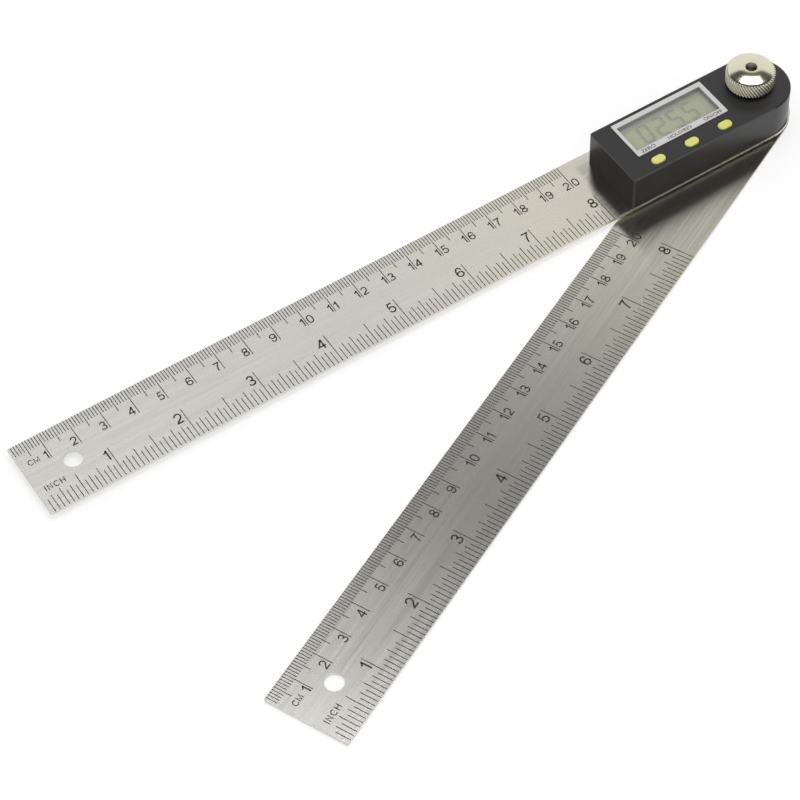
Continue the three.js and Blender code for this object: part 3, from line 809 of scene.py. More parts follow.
@dataclass(frozen=True)
class Ink(Finish):
    """Dark fill of an etched or printed mark, slightly uneven.

    Attributes:
        thin: its colour where it is thin.
        full: its colour where it is full.
        roughness: how rough it is.
        grain: how fine its unevenness is, per metre.
        spread: how much the roughness varies.
    """

    thin: Colour = (0.05, 0.05, 0.05)
    full: Colour = (0.02, 0.02, 0.02)
    roughness: float = 0.5
    grain: float = 2500
    spread: float = 0.16

    def paint(self, graph: Graph) -> None:
        """An uneven dark colour and roughness."""
        patches = graph.noise(graph.place(), scale=self.grain, detail=3)
        graph.set(
            {
                "Base Color": graph.blend(graph.span(patches, 0, 1), self.thin, self.full),
                "Roughness": graph.around(patches, self.roughness, self.spread),
                "Normal": graph.bump(patches, 0.003, 0.4),
            }
        )


@dataclass(frozen=True)
class ClearWindow(Finish):
    """Clear polished plastic over the display.

    Attributes:
        colour: its faint tint.
        wiped_colour: its tint where it was wiped.
        body: the share of light that it stops.
        refraction: the index of clear plastic.
    """

    colour: Colour = (0.62, 0.64, 0.58)
    wiped_colour: Colour = (0.70, 0.72, 0.66)
    body: float = 0.14
    refraction: float = 1.49

    def paint(self, graph: Graph) -> None:
        """A thin film of tint with a soft gloss, let through by a plain alpha."""
        wiped = graph.noise(graph.place((1, 3, 1)), scale=260, detail=3)
        graph.set(
            {
                "Base Color": graph.blend(wiped, self.colour, self.wiped_colour),
                "Roughness": graph.span(wiped, 0.04, 0.10),
                "IOR": self.refraction,
                "Alpha": self.body,
            }
        )


@dataclass(frozen=True)
class DisplayGlass(Finish):
    """Grey-green liquid crystal under its polariser.

    Attributes:
        left, right: its colours at the two ends.
        from_x, to_x: X of the two ends, in millimetres.
        seal: the colour of the painted shadow of the frame along its rear and left edges.
        seal_y: Y where the painted shadow at the rear is full, in millimetres.
        seal_x: X where the painted shadow at the left begins to fade, in millimetres.
        seal_blur: the width of the painted shadow's soft edge, in millimetres.
    """

    left: Colour = (0.500, 0.540, 0.310)
    right: Colour = (0.435, 0.455, 0.320)
    from_x: float = -48.2
    to_x: float = -14.2
    seal: Colour = (0.392, 0.400, 0.322)
    seal_y: float = 5.95
    seal_x: float = -46.6
    seal_blur: float = 1.3

    def paint(self, graph: Graph) -> None:
        """A slow change of tint, a painted shadow of the frame at two edges, a faint mottle and a
        polariser grain.
        """
        parts = graph.node("ShaderNodeSeparateXYZ")
        graph.link(graph.place(), parts.inputs["Vector"])
        along = graph.span(parts.outputs["X"], 0, 0.8, self.from_x * MM, self.to_x * MM)
        # Painted shadow of the frame along the rear and left edges.
        rear = graph.span(parts.outputs["Y"], 0, 1, (self.seal_y - self.seal_blur) * MM, self.seal_y * MM)
        side = graph.span(parts.outputs["X"], 1, 0, self.seal_x * MM, (self.seal_x + self.seal_blur) * MM)
        mottle = graph.noise(graph.place(), scale=420, detail=3)
        fibres = graph.noise(graph.place((0.2, 1, 1)), scale=5200, detail=2)
        tint = graph.blend(graph.add(along, graph.span(mottle, -0.1, 0.3)), self.left, self.right)
        graph.set(
            {
                "Base Color": graph.blend(graph.add(rear, side), tint, self.seal),
                "Roughness": graph.span(fibres, 0.28, 0.36),
                "Normal": graph.bump(fibres, 0.0015, 0.3),
            }
        )


@dataclass(frozen=True)
class BoardGreen(Finish):
    """Solder resist over a printed board, with fine tracks under it.

    Attributes:
        resist: the colour between the tracks.
        track: the colour over a track.
        pitch: the spacing of the tracks, in millimetres.
    """

    resist: Colour = (0.012, 0.085, 0.030)
    track: Colour = (0.030, 0.160, 0.060)
    pitch: float = 1.6

    def paint(self, graph: Graph) -> None:
        """A grid of tracks with broken ends, a little raised."""
        tracks = graph.node("ShaderNodeTexBrick", offset=0.5)
        tracks.inputs["Scale"].default_value = 1 / (self.pitch * MM) / 4
        tracks.inputs["Mortar Size"].default_value = 0.03
        for name, level in (("Color1", 0), ("Color2", 0.15), ("Mortar", 1)):
            tracks.inputs[name].default_value = (level, level, level, 1)
        graph.link(graph.place(), tracks.inputs["Vector"])
        cloth = graph.noise(graph.place(), scale=1800, detail=2)
        graph.set(
            {
                "Base Color": graph.blend(tracks.outputs["Color"], self.resist, self.track),
                "Roughness": graph.span(cloth, 0.30, 0.45),
                "Normal": graph.bump(tracks.outputs["Fac"], 0.03, 0.5),
            }
        )


UPPER_STEEL = BrushedSteel("upper_rule_steel")
LOWER_STEEL = BrushedSteel("lower_rule_steel", turn=REST_TURN)
NICKEL = PlatedMetal("knob_nickel", (0.74, 0.70, 0.55), (0.70, 0.66, 0.51), 0.18, 0.06, 700, 0.0015)
# The knurl's second colour is painted shade deep in the grooves.
KNURL = KnurledMetal("knurled_nickel", (0.80, 0.76, 0.62), (0.20, 0.185, 0.14), 0.38, 900)
ZINC = PlatedMetal("zinc_plate", (0.56, 0.57, 0.58), (0.46, 0.47, 0.48), 0.34, 0.12, 1600, 0.003)
# Steel darkened with painted shade, for the knob's bore and the stud seen down it.
BORE_SHADE_STEEL = PlatedMetal("bore_shade_steel", (0.36, 0.34, 0.29), (0.26, 0.24, 0.20), 0.40, 0.12, 1600, 0.003)
CELL_CAN = PlatedMetal("cell_can", (0.66, 0.66, 0.67), (0.58, 0.58, 0.59), 0.28, 0.10, 1200, 0.002)
ALLOY = PlatedMetal("turned_alloy", (0.66, 0.67, 0.69), (0.56, 0.57, 0.59), 0.36, 0.10, 1500, 0.003)
BRASS = PlatedMetal("spring_brass", (0.66, 0.53, 0.27), (0.55, 0.43, 0.21), 0.30, 0.10, 1500, 0.002)
SHELL = MouldedPlastic("black_shell", (0.0210, 0.0210, 0.0220), (0.0163, 0.0163, 0.0173), 0.33, 0.08)
# Shell plastic lightened as a painted highlight on the rounded edges.
SHELL_EDGE_HIGHLIGHT = MouldedPlastic("shell_edge_highlight", (0.075, 0.075, 0.076), (0.058, 0.058, 0.059), 0.30, 0.08)
NYLON = MouldedPlastic("black_nylon", (0.022, 0.022, 0.023), (0.015, 0.015, 0.016), 0.55, 0.08, 2500)
FRAME = MouldedPlastic("grey_frame", (0.715, 0.710, 0.695), (0.660, 0.655, 0.640), 0.42, 0.08, 3000, 0.004)
# Frame plastic darkened as painted shade, on the window's walls and the pane's border.
WELL_SHADE = MouldedPlastic("window_well_shade", (0.440, 0.440, 0.415), (0.400, 0.400, 0.378), 0.5, 0.08, 3000)
RUBBER = MouldedPlastic(
    "button_rubber", (0.85, 0.825, 0.215), (0.80, 0.775, 0.19), 0.46, 0.08, 1800, 0.006, 0.15
)
ZEBRA = MouldedPlastic("contact_rubber", (0.17, 0.18, 0.19), (0.12, 0.13, 0.14), 0.7, 0.06, 2500)
RESIN = MouldedPlastic("dark_resin", (0.015, 0.015, 0.017), (0.011, 0.011, 0.012), 0.30, 0.08, 1500)
ETCH = Ink("etched_black", (0.042, 0.040, 0.037), (0.016, 0.015, 0.014), 0.48, 2200)
LEGEND = Ink("legend_black", (0.035, 0.035, 0.035), (0.02, 0.02, 0.02), 0.5, 3000)
SEGMENT = Ink("segment_grey", (0.315, 0.331, 0.242), (0.289, 0.304, 0.227), 0.32, 900)
SHADOW = Ink("segment_shadow", (0.378, 0.400, 0.270), (0.355, 0.375, 0.258), 0.32, 900)
WINDOW = ClearWindow("clear_window")
LCD = DisplayGlass("display_glass")
BOARD = BoardGreen("board_green")


# Handing a piece over


def hand_over(
    piece: bpy.types.Object,
    name: str,
    body: Body,
    finish: Finish,
    replaces: Sequence[str] = (),
) -> None:
    """Names a finished piece, dresses it and lets it ride on its body.

    Args:
        piece: the finished object, with its place in its mesh.
        name: its name.
        body: the CAD body that it moves with.
        finish: its finish, for every face without one of its own.
        replaces: the CAD nodes that it stands for.
    """
    piece.data.transform(Matrix.Scale(MM, 4))
    piece.name = name
    piece.data.name = name
    if not piece.data.materials:
        piece.data.materials.append(finish.material())
    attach(piece, body.value)
    if replaces:
        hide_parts(*replaces)
    log.info("%s rides on %s with %d faces", name, body.value, len(piece.data.polygons))


def dress_faces(piece: bpy.types.Object, base: Finish, *others: tuple[Finish, FaceTest]) -> None:
    """Gives a piece its finish, and some of its faces finishes of their own.

    Args:
        piece: the object.
        base: the finish of the faces that no test picks.
        others: further finishes, each with the test that picks its faces; a later one wins.
    """
    piece.data.materials.clear()
    for finish in (base, *(other for other, _ in others)):
        piece.data.materials.append(finish.material())
    for face in piece.data.polygons:
        face.material_index = 0
        for index, (_, wanted) in enumerate(others, 1):
            if wanted(face):
                face.material_index = index


# Countersunk screws


@dataclass(frozen=True)
class CountersunkScrew:
    """A countersunk cross-recess screw, point up, with its head flush in a rule's underside.

    Attributes are its sizes in millimetres. Its tip is a share of the shank's radius, and the
    cross recess's half length, half width and depth are shares of the head's radius and height.
    """

    length: float
    head: float = 1.8
    shank: float = 0.9
    head_height: float = 0.9
    edge: float = 0.06
    tip_share: float = 0.45
    recess_reach_share: float = 0.6
    recess_width_share: float = 0.14
    recess_depth_share: float = 0.6

    def build(self) -> bpy.types.Object:
        """One screw on the Z axis, with its head's face at zero.

        Returns:
            The screw.
        """
        tip = self.shank * self.tip_share
        piece = turned(
            [
                (0, 0), (self.head - self.edge, 0),
                (self.head, self.edge), (self.shank, self.head_height),
                (self.shank, self.length - (self.shank - tip)), (tip, self.length),
                (0, self.length),
            ],
            SCREW_STEPS,
        )
        reach = self.head * self.recess_reach_share
        half = self.head * self.recess_width_share
        depth = self.head_height * self.recess_depth_share
        combine(piece, box(-reach, reach, -half, half, -OVERRUN, depth), Operation.CUT)
        combine(piece, box(-half, half, -reach, reach, -OVERRUN, depth), Operation.CUT)
        clean_cuts(piece)
        shade(piece)
        return piece


# Rules


@dataclass(frozen=True)
class RuleBlade:
    """A steel rule, half-round about the pivot, with its holes.

    Attributes:
        name: the piece's name.
        node: the CAD node that it stands for.
        body: the body that it rides on.
        low: Z of its underside.
        finish: its steel.
        screws: the places of its countersunk screws.
        turn: its turn about the pivot, in radians.
        hub_hole: the radius of the hole at the pivot, or zero.

    The others are its sizes and places in millimetres. A screw hole's radius is screw_mouth at
    the underside and screw_bore past the screw's head, and edges sharper than crisp degrees
    aren't shaded smooth.
    """

    name: str
    node: str
    body: Body
    low: float
    finish: Finish
    screws: tuple[Point, ...]
    turn: float = 0
    hub_hole: float = 0
    width: float = 28
    free_end: float = -266
    thickness: float = 1
    corner: float = 0.5
    hang_hole: float = 3
    hang_hole_x: float = -251
    screw_mouth: float = 1.95
    screw_bore: float = 1.05
    screw_height: float = 0.9
    edge: float = 0.06
    crisp: float = 35
    hang_hole_steps: int = 72
    hub_hole_steps: int = 128

    @property
    def high(self) -> float:
        """Z of its upper face."""
        return self.low + self.thickness

    def screw_sink(self, x: float, y: float) -> bpy.types.Object:
        """The cutter of one countersunk hole, about an axis at x and y."""
        cutter = turned(
            [
                (0, self.low - OVERRUN), (self.screw_mouth, self.low - OVERRUN),
                (self.screw_mouth, self.low),
                (self.screw_bore, self.low + self.screw_height),
                (self.screw_bore, self.high + OVERRUN), (0, self.high + OVERRUN),
            ],
            SCREW_STEPS,
        )
        cutter.data.transform(shift(x, y))
        return cutter

    def build(self) -> None:
        """Builds the blade, with softened edges, turned into place."""
        blade = round_ended_block(self.free_end, 0, self.width, self.low, self.high)
        round_left_corners(blade, self.free_end, self.corner)
        low, high = self.low - OVERRUN, self.high + OVERRUN
        holes = [rod(self.hang_hole, low, high, self.hang_hole_x, steps=self.hang_hole_steps)]
        if self.hub_hole:
            holes.append(rod(self.hub_hole, low, high, steps=self.hub_hole_steps))
        holes += [self.screw_sink(x, y) for x, y in self.screws]
        for hole in holes:
            combine(blade, hole, Operation.CUT)
        soften_edges(blade, self.edge)
        shade(blade, self.crisp, weighted=True)
        blade.data.transform(Matrix.Rotation(self.turn, 4, "Z"))
        hand_over(blade, self.name, self.body, self.finish, [self.node])


# Etched scales


class Stroke:
    """Helpers that give the centre lines of figures in a box one unit high."""

    @staticmethod
    def arc(
        cx: float, cy: float, rx: float, ry: float, start: float, end: float, steps: int = 14
    ) -> list[Point]:
        """Points along part of an ellipse, by its middle, half sizes and two angles in degrees."""
        angles = [math.radians(start + (end - start) * step / steps) for step in range(steps + 1)]
        return [(cx + rx * math.cos(angle), cy + ry * math.sin(angle)) for angle in angles]

    @staticmethod
    def oval(
        cx: float, cy: float, rx: float, ry: float, power: float = 2.0, steps: int = 32
    ) -> list[Point]:
        """Points round a closed oval, squarer with a power above 2.

        Returns:
            The points, with the first one repeated at the end.
        """
        points = []
        for step in range(steps + 1):
            angle = 2 * math.pi * (step % steps) / steps
            cosine, sine = math.cos(angle), math.sin(angle)
            x = math.copysign(abs(cosine) ** (2 / power), cosine)
            y = math.copysign(abs(sine) ** (2 / power), sine)
            points.append((cx + rx * x, cy + ry * y))
        return points


SIX = [Stroke.arc(0.345, 0.47, 0.28, 0.47, 28, 190, 18), Stroke.oval(0.33, 0.30, 0.265, 0.245)]

GLYPHS: dict[str, list[list[Point]]] = {
    "0": [Stroke.oval(0.33, 0.5, 0.265, 0.445, 2.35)],
    "1": [[(0.40, 0), (0.40, 1.0)], [(0.12, 0.745), (0.24, 0.765), (0.33, 0.83), (0.385, 0.945)]],
    "2": [
        Stroke.arc(0.33, 0.685, 0.25, 0.255, 172, -12)
        + [(0.53, 0.50), (0.40, 0.37), (0.22, 0.23), (0.10, 0.12), (0.075, 0.055), (0.60, 0.055)]
    ],
    "3": [
        Stroke.arc(0.32, 0.72, 0.215, 0.225, 165, -90)[:-1]
        + Stroke.arc(0.32, 0.275, 0.255, 0.222, 90, -168, 16)
    ],
    "4": [[(0.475, 0), (0.475, 0.985)], [(0.455, 0.93), (0.055, 0.29), (0.655, 0.29)]],
    "5": [
        [(0.565, 0.945), (0.175, 0.945), (0.115, 0.475)]
        + Stroke.arc(0.325, 0.325, 0.262, 0.268, 138, -162, 16)
    ],
    "6": SIX,
    "7": [[(0.05, 0.945), (0.60, 0.945), (0.47, 0.76), (0.36, 0.52), (0.285, 0.27), (0.255, 0)]],
    "8": [Stroke.oval(0.33, 0.735, 0.215, 0.21), Stroke.oval(0.33, 0.275, 0.262, 0.22)],
    "9": [[(0.66 - x, 1 - y) for x, y in line] for line in SIX],
    "C": [Stroke.arc(0.44, 0.5, 0.37, 0.445, 38, 322, 24)],
    "M": [[(0.07, 0), (0.07, 0.93), (0.43, 0.08), (0.79, 0.93), (0.79, 0)]],
    "I": [[(0.07, 0), (0.07, 1)]],
    "N": [[(0.07, 0), (0.07, 0.90), (0.63, 0.10), (0.63, 1)]],
    "H": [[(0.07, 0), (0.07, 1)], [(0.65, 0), (0.65, 1)], [(0.07, 0.52), (0.65, 0.52)]],
}


@dataclass(frozen=True)
class Lettering:
    """Figures and letters drawn with one even stroke, as an etching mask has them.

    Attributes:
        height: the height of a figure.
        stroke_share: the stroke's width as a share of the height.
        stretch: how much wider than the plain form a figure is.
        mitre_limit: how sharp a corner may be before its mitre is cut short.
    """

    height: float
    stroke_share: float = 0.135
    stretch: float = 1
    mitre_limit: float = 0.45

    def ribbon(self, line: Sequence[Point]) -> tuple[list[Vector], list[tuple[int, ...]]]:
        """A flat band along a line, mitred at its corners.

        Args:
            line: the centre line, closed if its ends meet.

        Returns:
            The band's points and faces.
        """
        points = [Vector((x * self.stretch, y)) * self.height for x, y in line]
        closed = (points[0] - points[-1]).length < FINE
        if closed:
            points.pop()
        count, half = len(points), self.stroke_share * self.height / 2
        places: list[Vector] = []
        for at, point in enumerate(points):
            before = points[at - 1] if closed or at else point
            after = points[(at + 1) % count] if closed or at < count - 1 else point
            into, out = point - before, after - point
            into = into.normalized() if into.length else out.normalized()
            out = out.normalized() if out.length else into
            side = Vector((-(into.y + out.y), into.x + out.x)).normalized()
            reach = half / max(side.dot(Vector((-into.y, into.x))), self.mitre_limit)
            places += [point + side * reach, point - side * reach]
        last = count if closed else count - 1
        faces = [
            (2 * at, 2 * at + 1, 2 * ((at + 1) % count) + 1, 2 * ((at + 1) % count)) for at in range(last)
        ]
        return places, faces

    def glyph(self, character: str, left: float, base: float) -> bpy.types.Object:
        """One figure or letter, flat, from its left side and its foot."""
        places: list[Vector] = []
        faces: list[tuple[int, ...]] = []
        for line in GLYPHS[character]:
            points, quads = self.ribbon(line)
            faces += [tuple(corner + len(places) for corner in quad) for quad in quads]
            places += points
        mesh = bpy.data.meshes.new("figure")
        mesh.from_pydata([(left + p.x, base + p.y, 0) for p in places], [], faces)
        figure = bpy.data.objects.new("figure", mesh)
        bpy.context.scene.collection.objects.link(figure)
        return figure

    def width(self, character: str) -> float:
        """The width of a figure's box."""
        reach = max(x for line in GLYPHS[character] for x, _ in line)
        return (reach * self.stretch + self.stroke_share / 2) * self.height

    def word(self, text: str, left: float, base: float, gap: float) -> list[bpy.types.Object]:
        """The flat letters of a word, from its left side and its feet, with a gap between them."""
        made = []
        for character in text:
            made.append(self.glyph(character, left, base))
            left += self.width(character) + gap
        return made


def raise_flat(flat: bpy.types.Object, top: float, thickness: float) -> None:
    """Gives a flat drawing at height zero a thin body whose upper face lies at a height."""
    with editing(flat):
        select(flat, Part.FACE, lambda face: face.normal.z < 0)
        bpy.ops.mesh.flip_normals()
    apply_modifier(flat, "SOLIDIFY", thickness=thickness, offset=-1)
    flat.data.transform(shift(z=top))


@dataclass(frozen=True)
class UnitWord:
    """The word at a scale's free end.

    Attributes:
        text: the word.
        letters: how its letters are drawn.
        foot: how far its feet lie from the rule's edge.
        gap: the space between its letters.
    """

    text: str
    letters: Lettering
    foot: float
    gap: float


@dataclass(frozen=True)
class EtchedScales:
    """The centimetre and inch scales of a rule, in the frame of an unturned rule.

    Attributes:
        suffix: the rule's word in the pieces' names.
        body: the body that they ride on.
        top: Z of the rule's upper face.
        turn: the rule's turn, in radians.
        free_end: X of the rule's free end, where the scales begin.
        margin: how far the marks begin from the rule's edge.
        hairline: the gap between the rows of marks that a long mark is made of.
        rise: how far the marks stand above the rule.
        centimetre_lengths: how far the marks of 1, 5 and 10 mm reach in.
        inch_lengths: how far the marks from a sixteenth to an inch reach in.
        centimetre_foot: how far the centimetre figures' feet lie from the rear edge.
        single_gap: from a single figure to its mark.
        left_gap: from the left one of two figures to the mark between them.
        right_gap: from that mark to the right one.
        one_gap: the same where that one is a 1.
        inch_foot: how far the inch figures' feet lie from the front edge.
        inch_gap: from an inch figure to its mark.
        word_left: from the free end to the words.

    The others say themselves what they are. All lengths are in millimetres.
    """

    suffix: str
    body: Body
    top: float
    turn: float = 0
    free_end: float = -266
    half_width: float = 14
    tick_width: float = 0.26
    margin: float = 0.03
    hairline: float = 0.004
    inch: float = 25.4
    millimetres: int = 200
    inches: int = 8
    rise: float = 0.008
    body_thickness: float = 0.012
    centimetre_lengths: Triple = (4.0, 6.15, 10.25)
    inch_lengths: tuple[float, ...] = (5.1, 6.0, 7.0, 8.7, 11.8)
    centimetre_letters: Lettering = Lettering(3.2)
    centimetre_foot: float = 9.95
    single_gap: float = 0.55
    left_gap: float = 0.52
    right_gap: float = 0.62
    one_gap: float = 0.25
    inch_letters: Lettering = Lettering(3.9)
    inch_foot: float = 7.3
    inch_gap: float = 0.85
    word_left: float = 2.75
    centimetre_word: UnitWord = UnitWord("CM", Lettering(2.0, 0.145, 1.08), 9.3, 0.28)
    inch_word: UnitWord = UnitWord("INCH", Lettering(2.15, 0.14, 0.98), 7.8, 0.58)

    def ticks(self, step: float, count: int, start: float, end: float, edge_sign: int) -> bpy.types.Object:
        """A row of equal marks, one step apart from the free end on.

        Args:
            step: the spacing.
            count: how many there are.
            start: how far from the rule's edge they begin.
            end: how far from the rule's edge they end.
            edge_sign: 1 for the rear edge, -1 for the front edge.

        Returns:
            The flat marks.
        """
        middle = edge_sign * (self.half_width - (start + end) / 2)
        bpy.ops.mesh.primitive_plane_add(size=1, location=(self.free_end + step, middle, 0))
        tick = bpy.context.object
        tick.scale = (self.tick_width, end - start - self.hairline, 1)
        settle_place(tick)
        apply_modifier(
            tick,
            "ARRAY",
            count=count,
            use_relative_offset=False,
            use_constant_offset=True,
            constant_offset_displace=(step, 0, 0),
        )
        return tick

    def centimetre_ticks(self) -> bpy.types.Object:
        """All the marks of the centimetre scale, flat."""
        one, five, ten = self.centimetre_lengths
        return join(
            [
                self.ticks(1, self.millimetres, self.margin, one, 1),
                self.ticks(5, self.millimetres // 5, one, five, 1),
                self.ticks(10, self.millimetres // 10, five, ten, 1),
            ]
        )

    def inch_ticks(self) -> bpy.types.Object:
        """All the marks of the inch scale, flat."""
        starts = (self.margin, *self.inch_lengths)
        rows = []
        for level, end in enumerate(self.inch_lengths):
            parts = 16 // 2**level
            rows.append(self.ticks(self.inch / parts, self.inches * parts, starts[level], end, -1))
        return join(rows)

    def unit_word(self, word: UnitWord, edge_sign: int) -> list[bpy.types.Object]:
        """The flat letters of a scale's word, at the rear edge (1) or the front edge (-1)."""
        base = edge_sign * (self.half_width - word.foot)
        return word.letters.word(word.text, self.free_end + self.word_left, base, word.gap)

    def centimetre_figures(self) -> bpy.types.Object:
        """The centimetre figures and their word, flat."""
        letters = self.centimetre_letters
        base = self.half_width - self.centimetre_foot
        made = []
        for number in range(1, self.millimetres // 10 + 1):
            tick = self.free_end + number * 10
            first, *rest = str(number)
            gap = self.left_gap if rest else self.single_gap
            made.append(letters.glyph(first, tick - gap - letters.width(first), base))
            for second in rest:
                gap = self.one_gap if second == "1" else self.right_gap
                made.append(letters.glyph(second, tick + gap, base))
        return join(made + self.unit_word(self.centimetre_word, 1))

    def inch_figures(self) -> bpy.types.Object:
        """The inch figures and their word, flat."""
        letters = self.inch_letters
        base = self.inch_foot - self.half_width
        made = []
        for number in range(1, self.inches + 1):
            figure = str(number)
            left = self.free_end + number * self.inch - self.inch_gap - letters.width(figure)
            made.append(letters.glyph(figure, left, base))
        return join(made + self.unit_word(self.inch_word, -1))

    def build(self) -> None:
        """Builds the four drawings as thin inlays in the rule's face."""
        drawings = {
            "cm_ticks": self.centimetre_ticks(),
            "cm_figures": self.centimetre_figures(),
            "inch_ticks": self.inch_ticks(),
            "inch_figures": self.inch_figures(),
        }
        for name, flat in drawings.items():
            raise_flat(flat, self.top + self.rise, self.body_thickness)
            flat.data.transform(Matrix.Rotation(self.turn, 4, "Z"))
            hand_over(flat, f"{name}_{self.suffix}", self.body, ETCH)


# Housing


@dataclass(frozen=True)
class Housing:
    """The moulded black shell of the head.

    Attributes are its sizes and places in millimetres, mostly as the CAD solid has them.
    boss_tuck and drawer_cut are how far a boss and the drawer opening's cutter run over, and
    rubbed is the span of slopes on the rounded edges that get a painted highlight.
    """

    left: float = -55.6
    centre_y: float = -1.5
    width: float = 24.7
    low: float = 2.7
    high: float = 15.7
    wall: float = 1.4
    ceiling: float = 14.2
    corner: float = 0.9
    edge: float = 0.55
    edge_steps: int = 5
    soft_edge: float = 0.10
    window: Bounds = (-47.95, -14.45, -4.45, 7.9)
    button_x: Triple = (-43.856, -30.8, -17.744)
    button_y: float = -10.4
    slot_length: float = 5.3
    slot_width: float = 3.45
    bush_hole: float = 3.65
    drawer_hole: Triple = (-42.35, -20.25, 8.05)
    drawer_cut: float = 2
    bosses: tuple[Point, ...] = ((-51.2, -9.6), (-11.4, -9.6), (-51.2, 6.6), (-11.4, 6.6))
    boss_radius: float = 2.1
    boss_steps: int = 32
    boss_tuck: float = 0.3
    rubbed: Point = (0.35, 0.90)

    def shell(self) -> bpy.types.Object:
        """The outer form, hollow, with rounded corners and top edge."""
        block = round_ended_block(self.left, self.centre_y, self.width, self.low, self.high)
        round_left_corners(block, self.left, self.corner)
        round_top(block, self.high, self.edge, self.edge_steps)
        left, width = self.left + self.wall, self.width - 2 * self.wall
        cavity = round_ended_block(left, self.centre_y, width, self.low - OVERRUN, self.ceiling)
        combine(block, cavity, Operation.CUT)
        return block

    def build(self) -> None:
        """Builds the shell with its window, button slots, bush hole and drawer opening."""
        shell = self.shell()
        for x, y in self.bosses:
            boss = rod(self.boss_radius, self.low, self.ceiling + self.boss_tuck, x, y, self.boss_steps)
            combine(shell, boss, Operation.JOIN)
        low, high = self.ceiling - OVERRUN, self.high + OVERRUN
        cutters = [box(*self.window, low, high)]
        for x in self.button_x:
            cutters.append(capsule(x, self.button_y, self.slot_length, self.slot_width, low, high))
        cutters.append(rod(self.bush_hole, low, high))
        left, right, top = self.drawer_hole
        rear = self.centre_y + self.width / 2
        low, reach = self.low - OVERRUN, self.drawer_cut
        cutters.append(box(left, right, rear - reach, rear + reach, low, top))
        for cutter in cutters:
            combine(shell, cutter, Operation.CUT)
        soften_edges(shell, self.soft_edge, angle=MOULDED)
        shade(shell, MOULDED, weighted=True)
        # The rounded front and end edges get a painted highlight.
        dress_faces(shell, SHELL, (SHELL_EDGE_HIGHLIGHT, self.is_rubbed))
        hand_over(shell, "housing_shell", Body.HEAD, SHELL, ["housing"])

    def is_rubbed(self, face: bpy.types.MeshPolygon) -> bool:
        """True for a face in the middle of the rounded top edge or of a rounded upright corner.

        Args:
            face: a face of the shell.

        Returns:
            Whether it gets the painted highlight.
        """
        place, normal = face.center, face.normal
        least, most = self.rubbed
        on_rim = place.z > self.high - self.edge and least < normal.z < most and place.x < 0
        at_corner = place.x < self.left + self.corner and min(abs(normal.x), abs(normal.y)) > least
        at_side = abs(place.y - self.centre_y) > self.width / 2 - self.corner
        at_end = place.x < self.left + self.edge
        return (at_side or at_end) and (on_rim or at_corner)


# Display


SEGMENTS = {"0": "abcdef", "2": "abdeg", "5": "acdfg"}
LEGENDS = (("ZERO", -46.7, -41.3), ("HOLD/REV", -36.2, -26.9), ("ON/OFF", -22.2, -15.0))


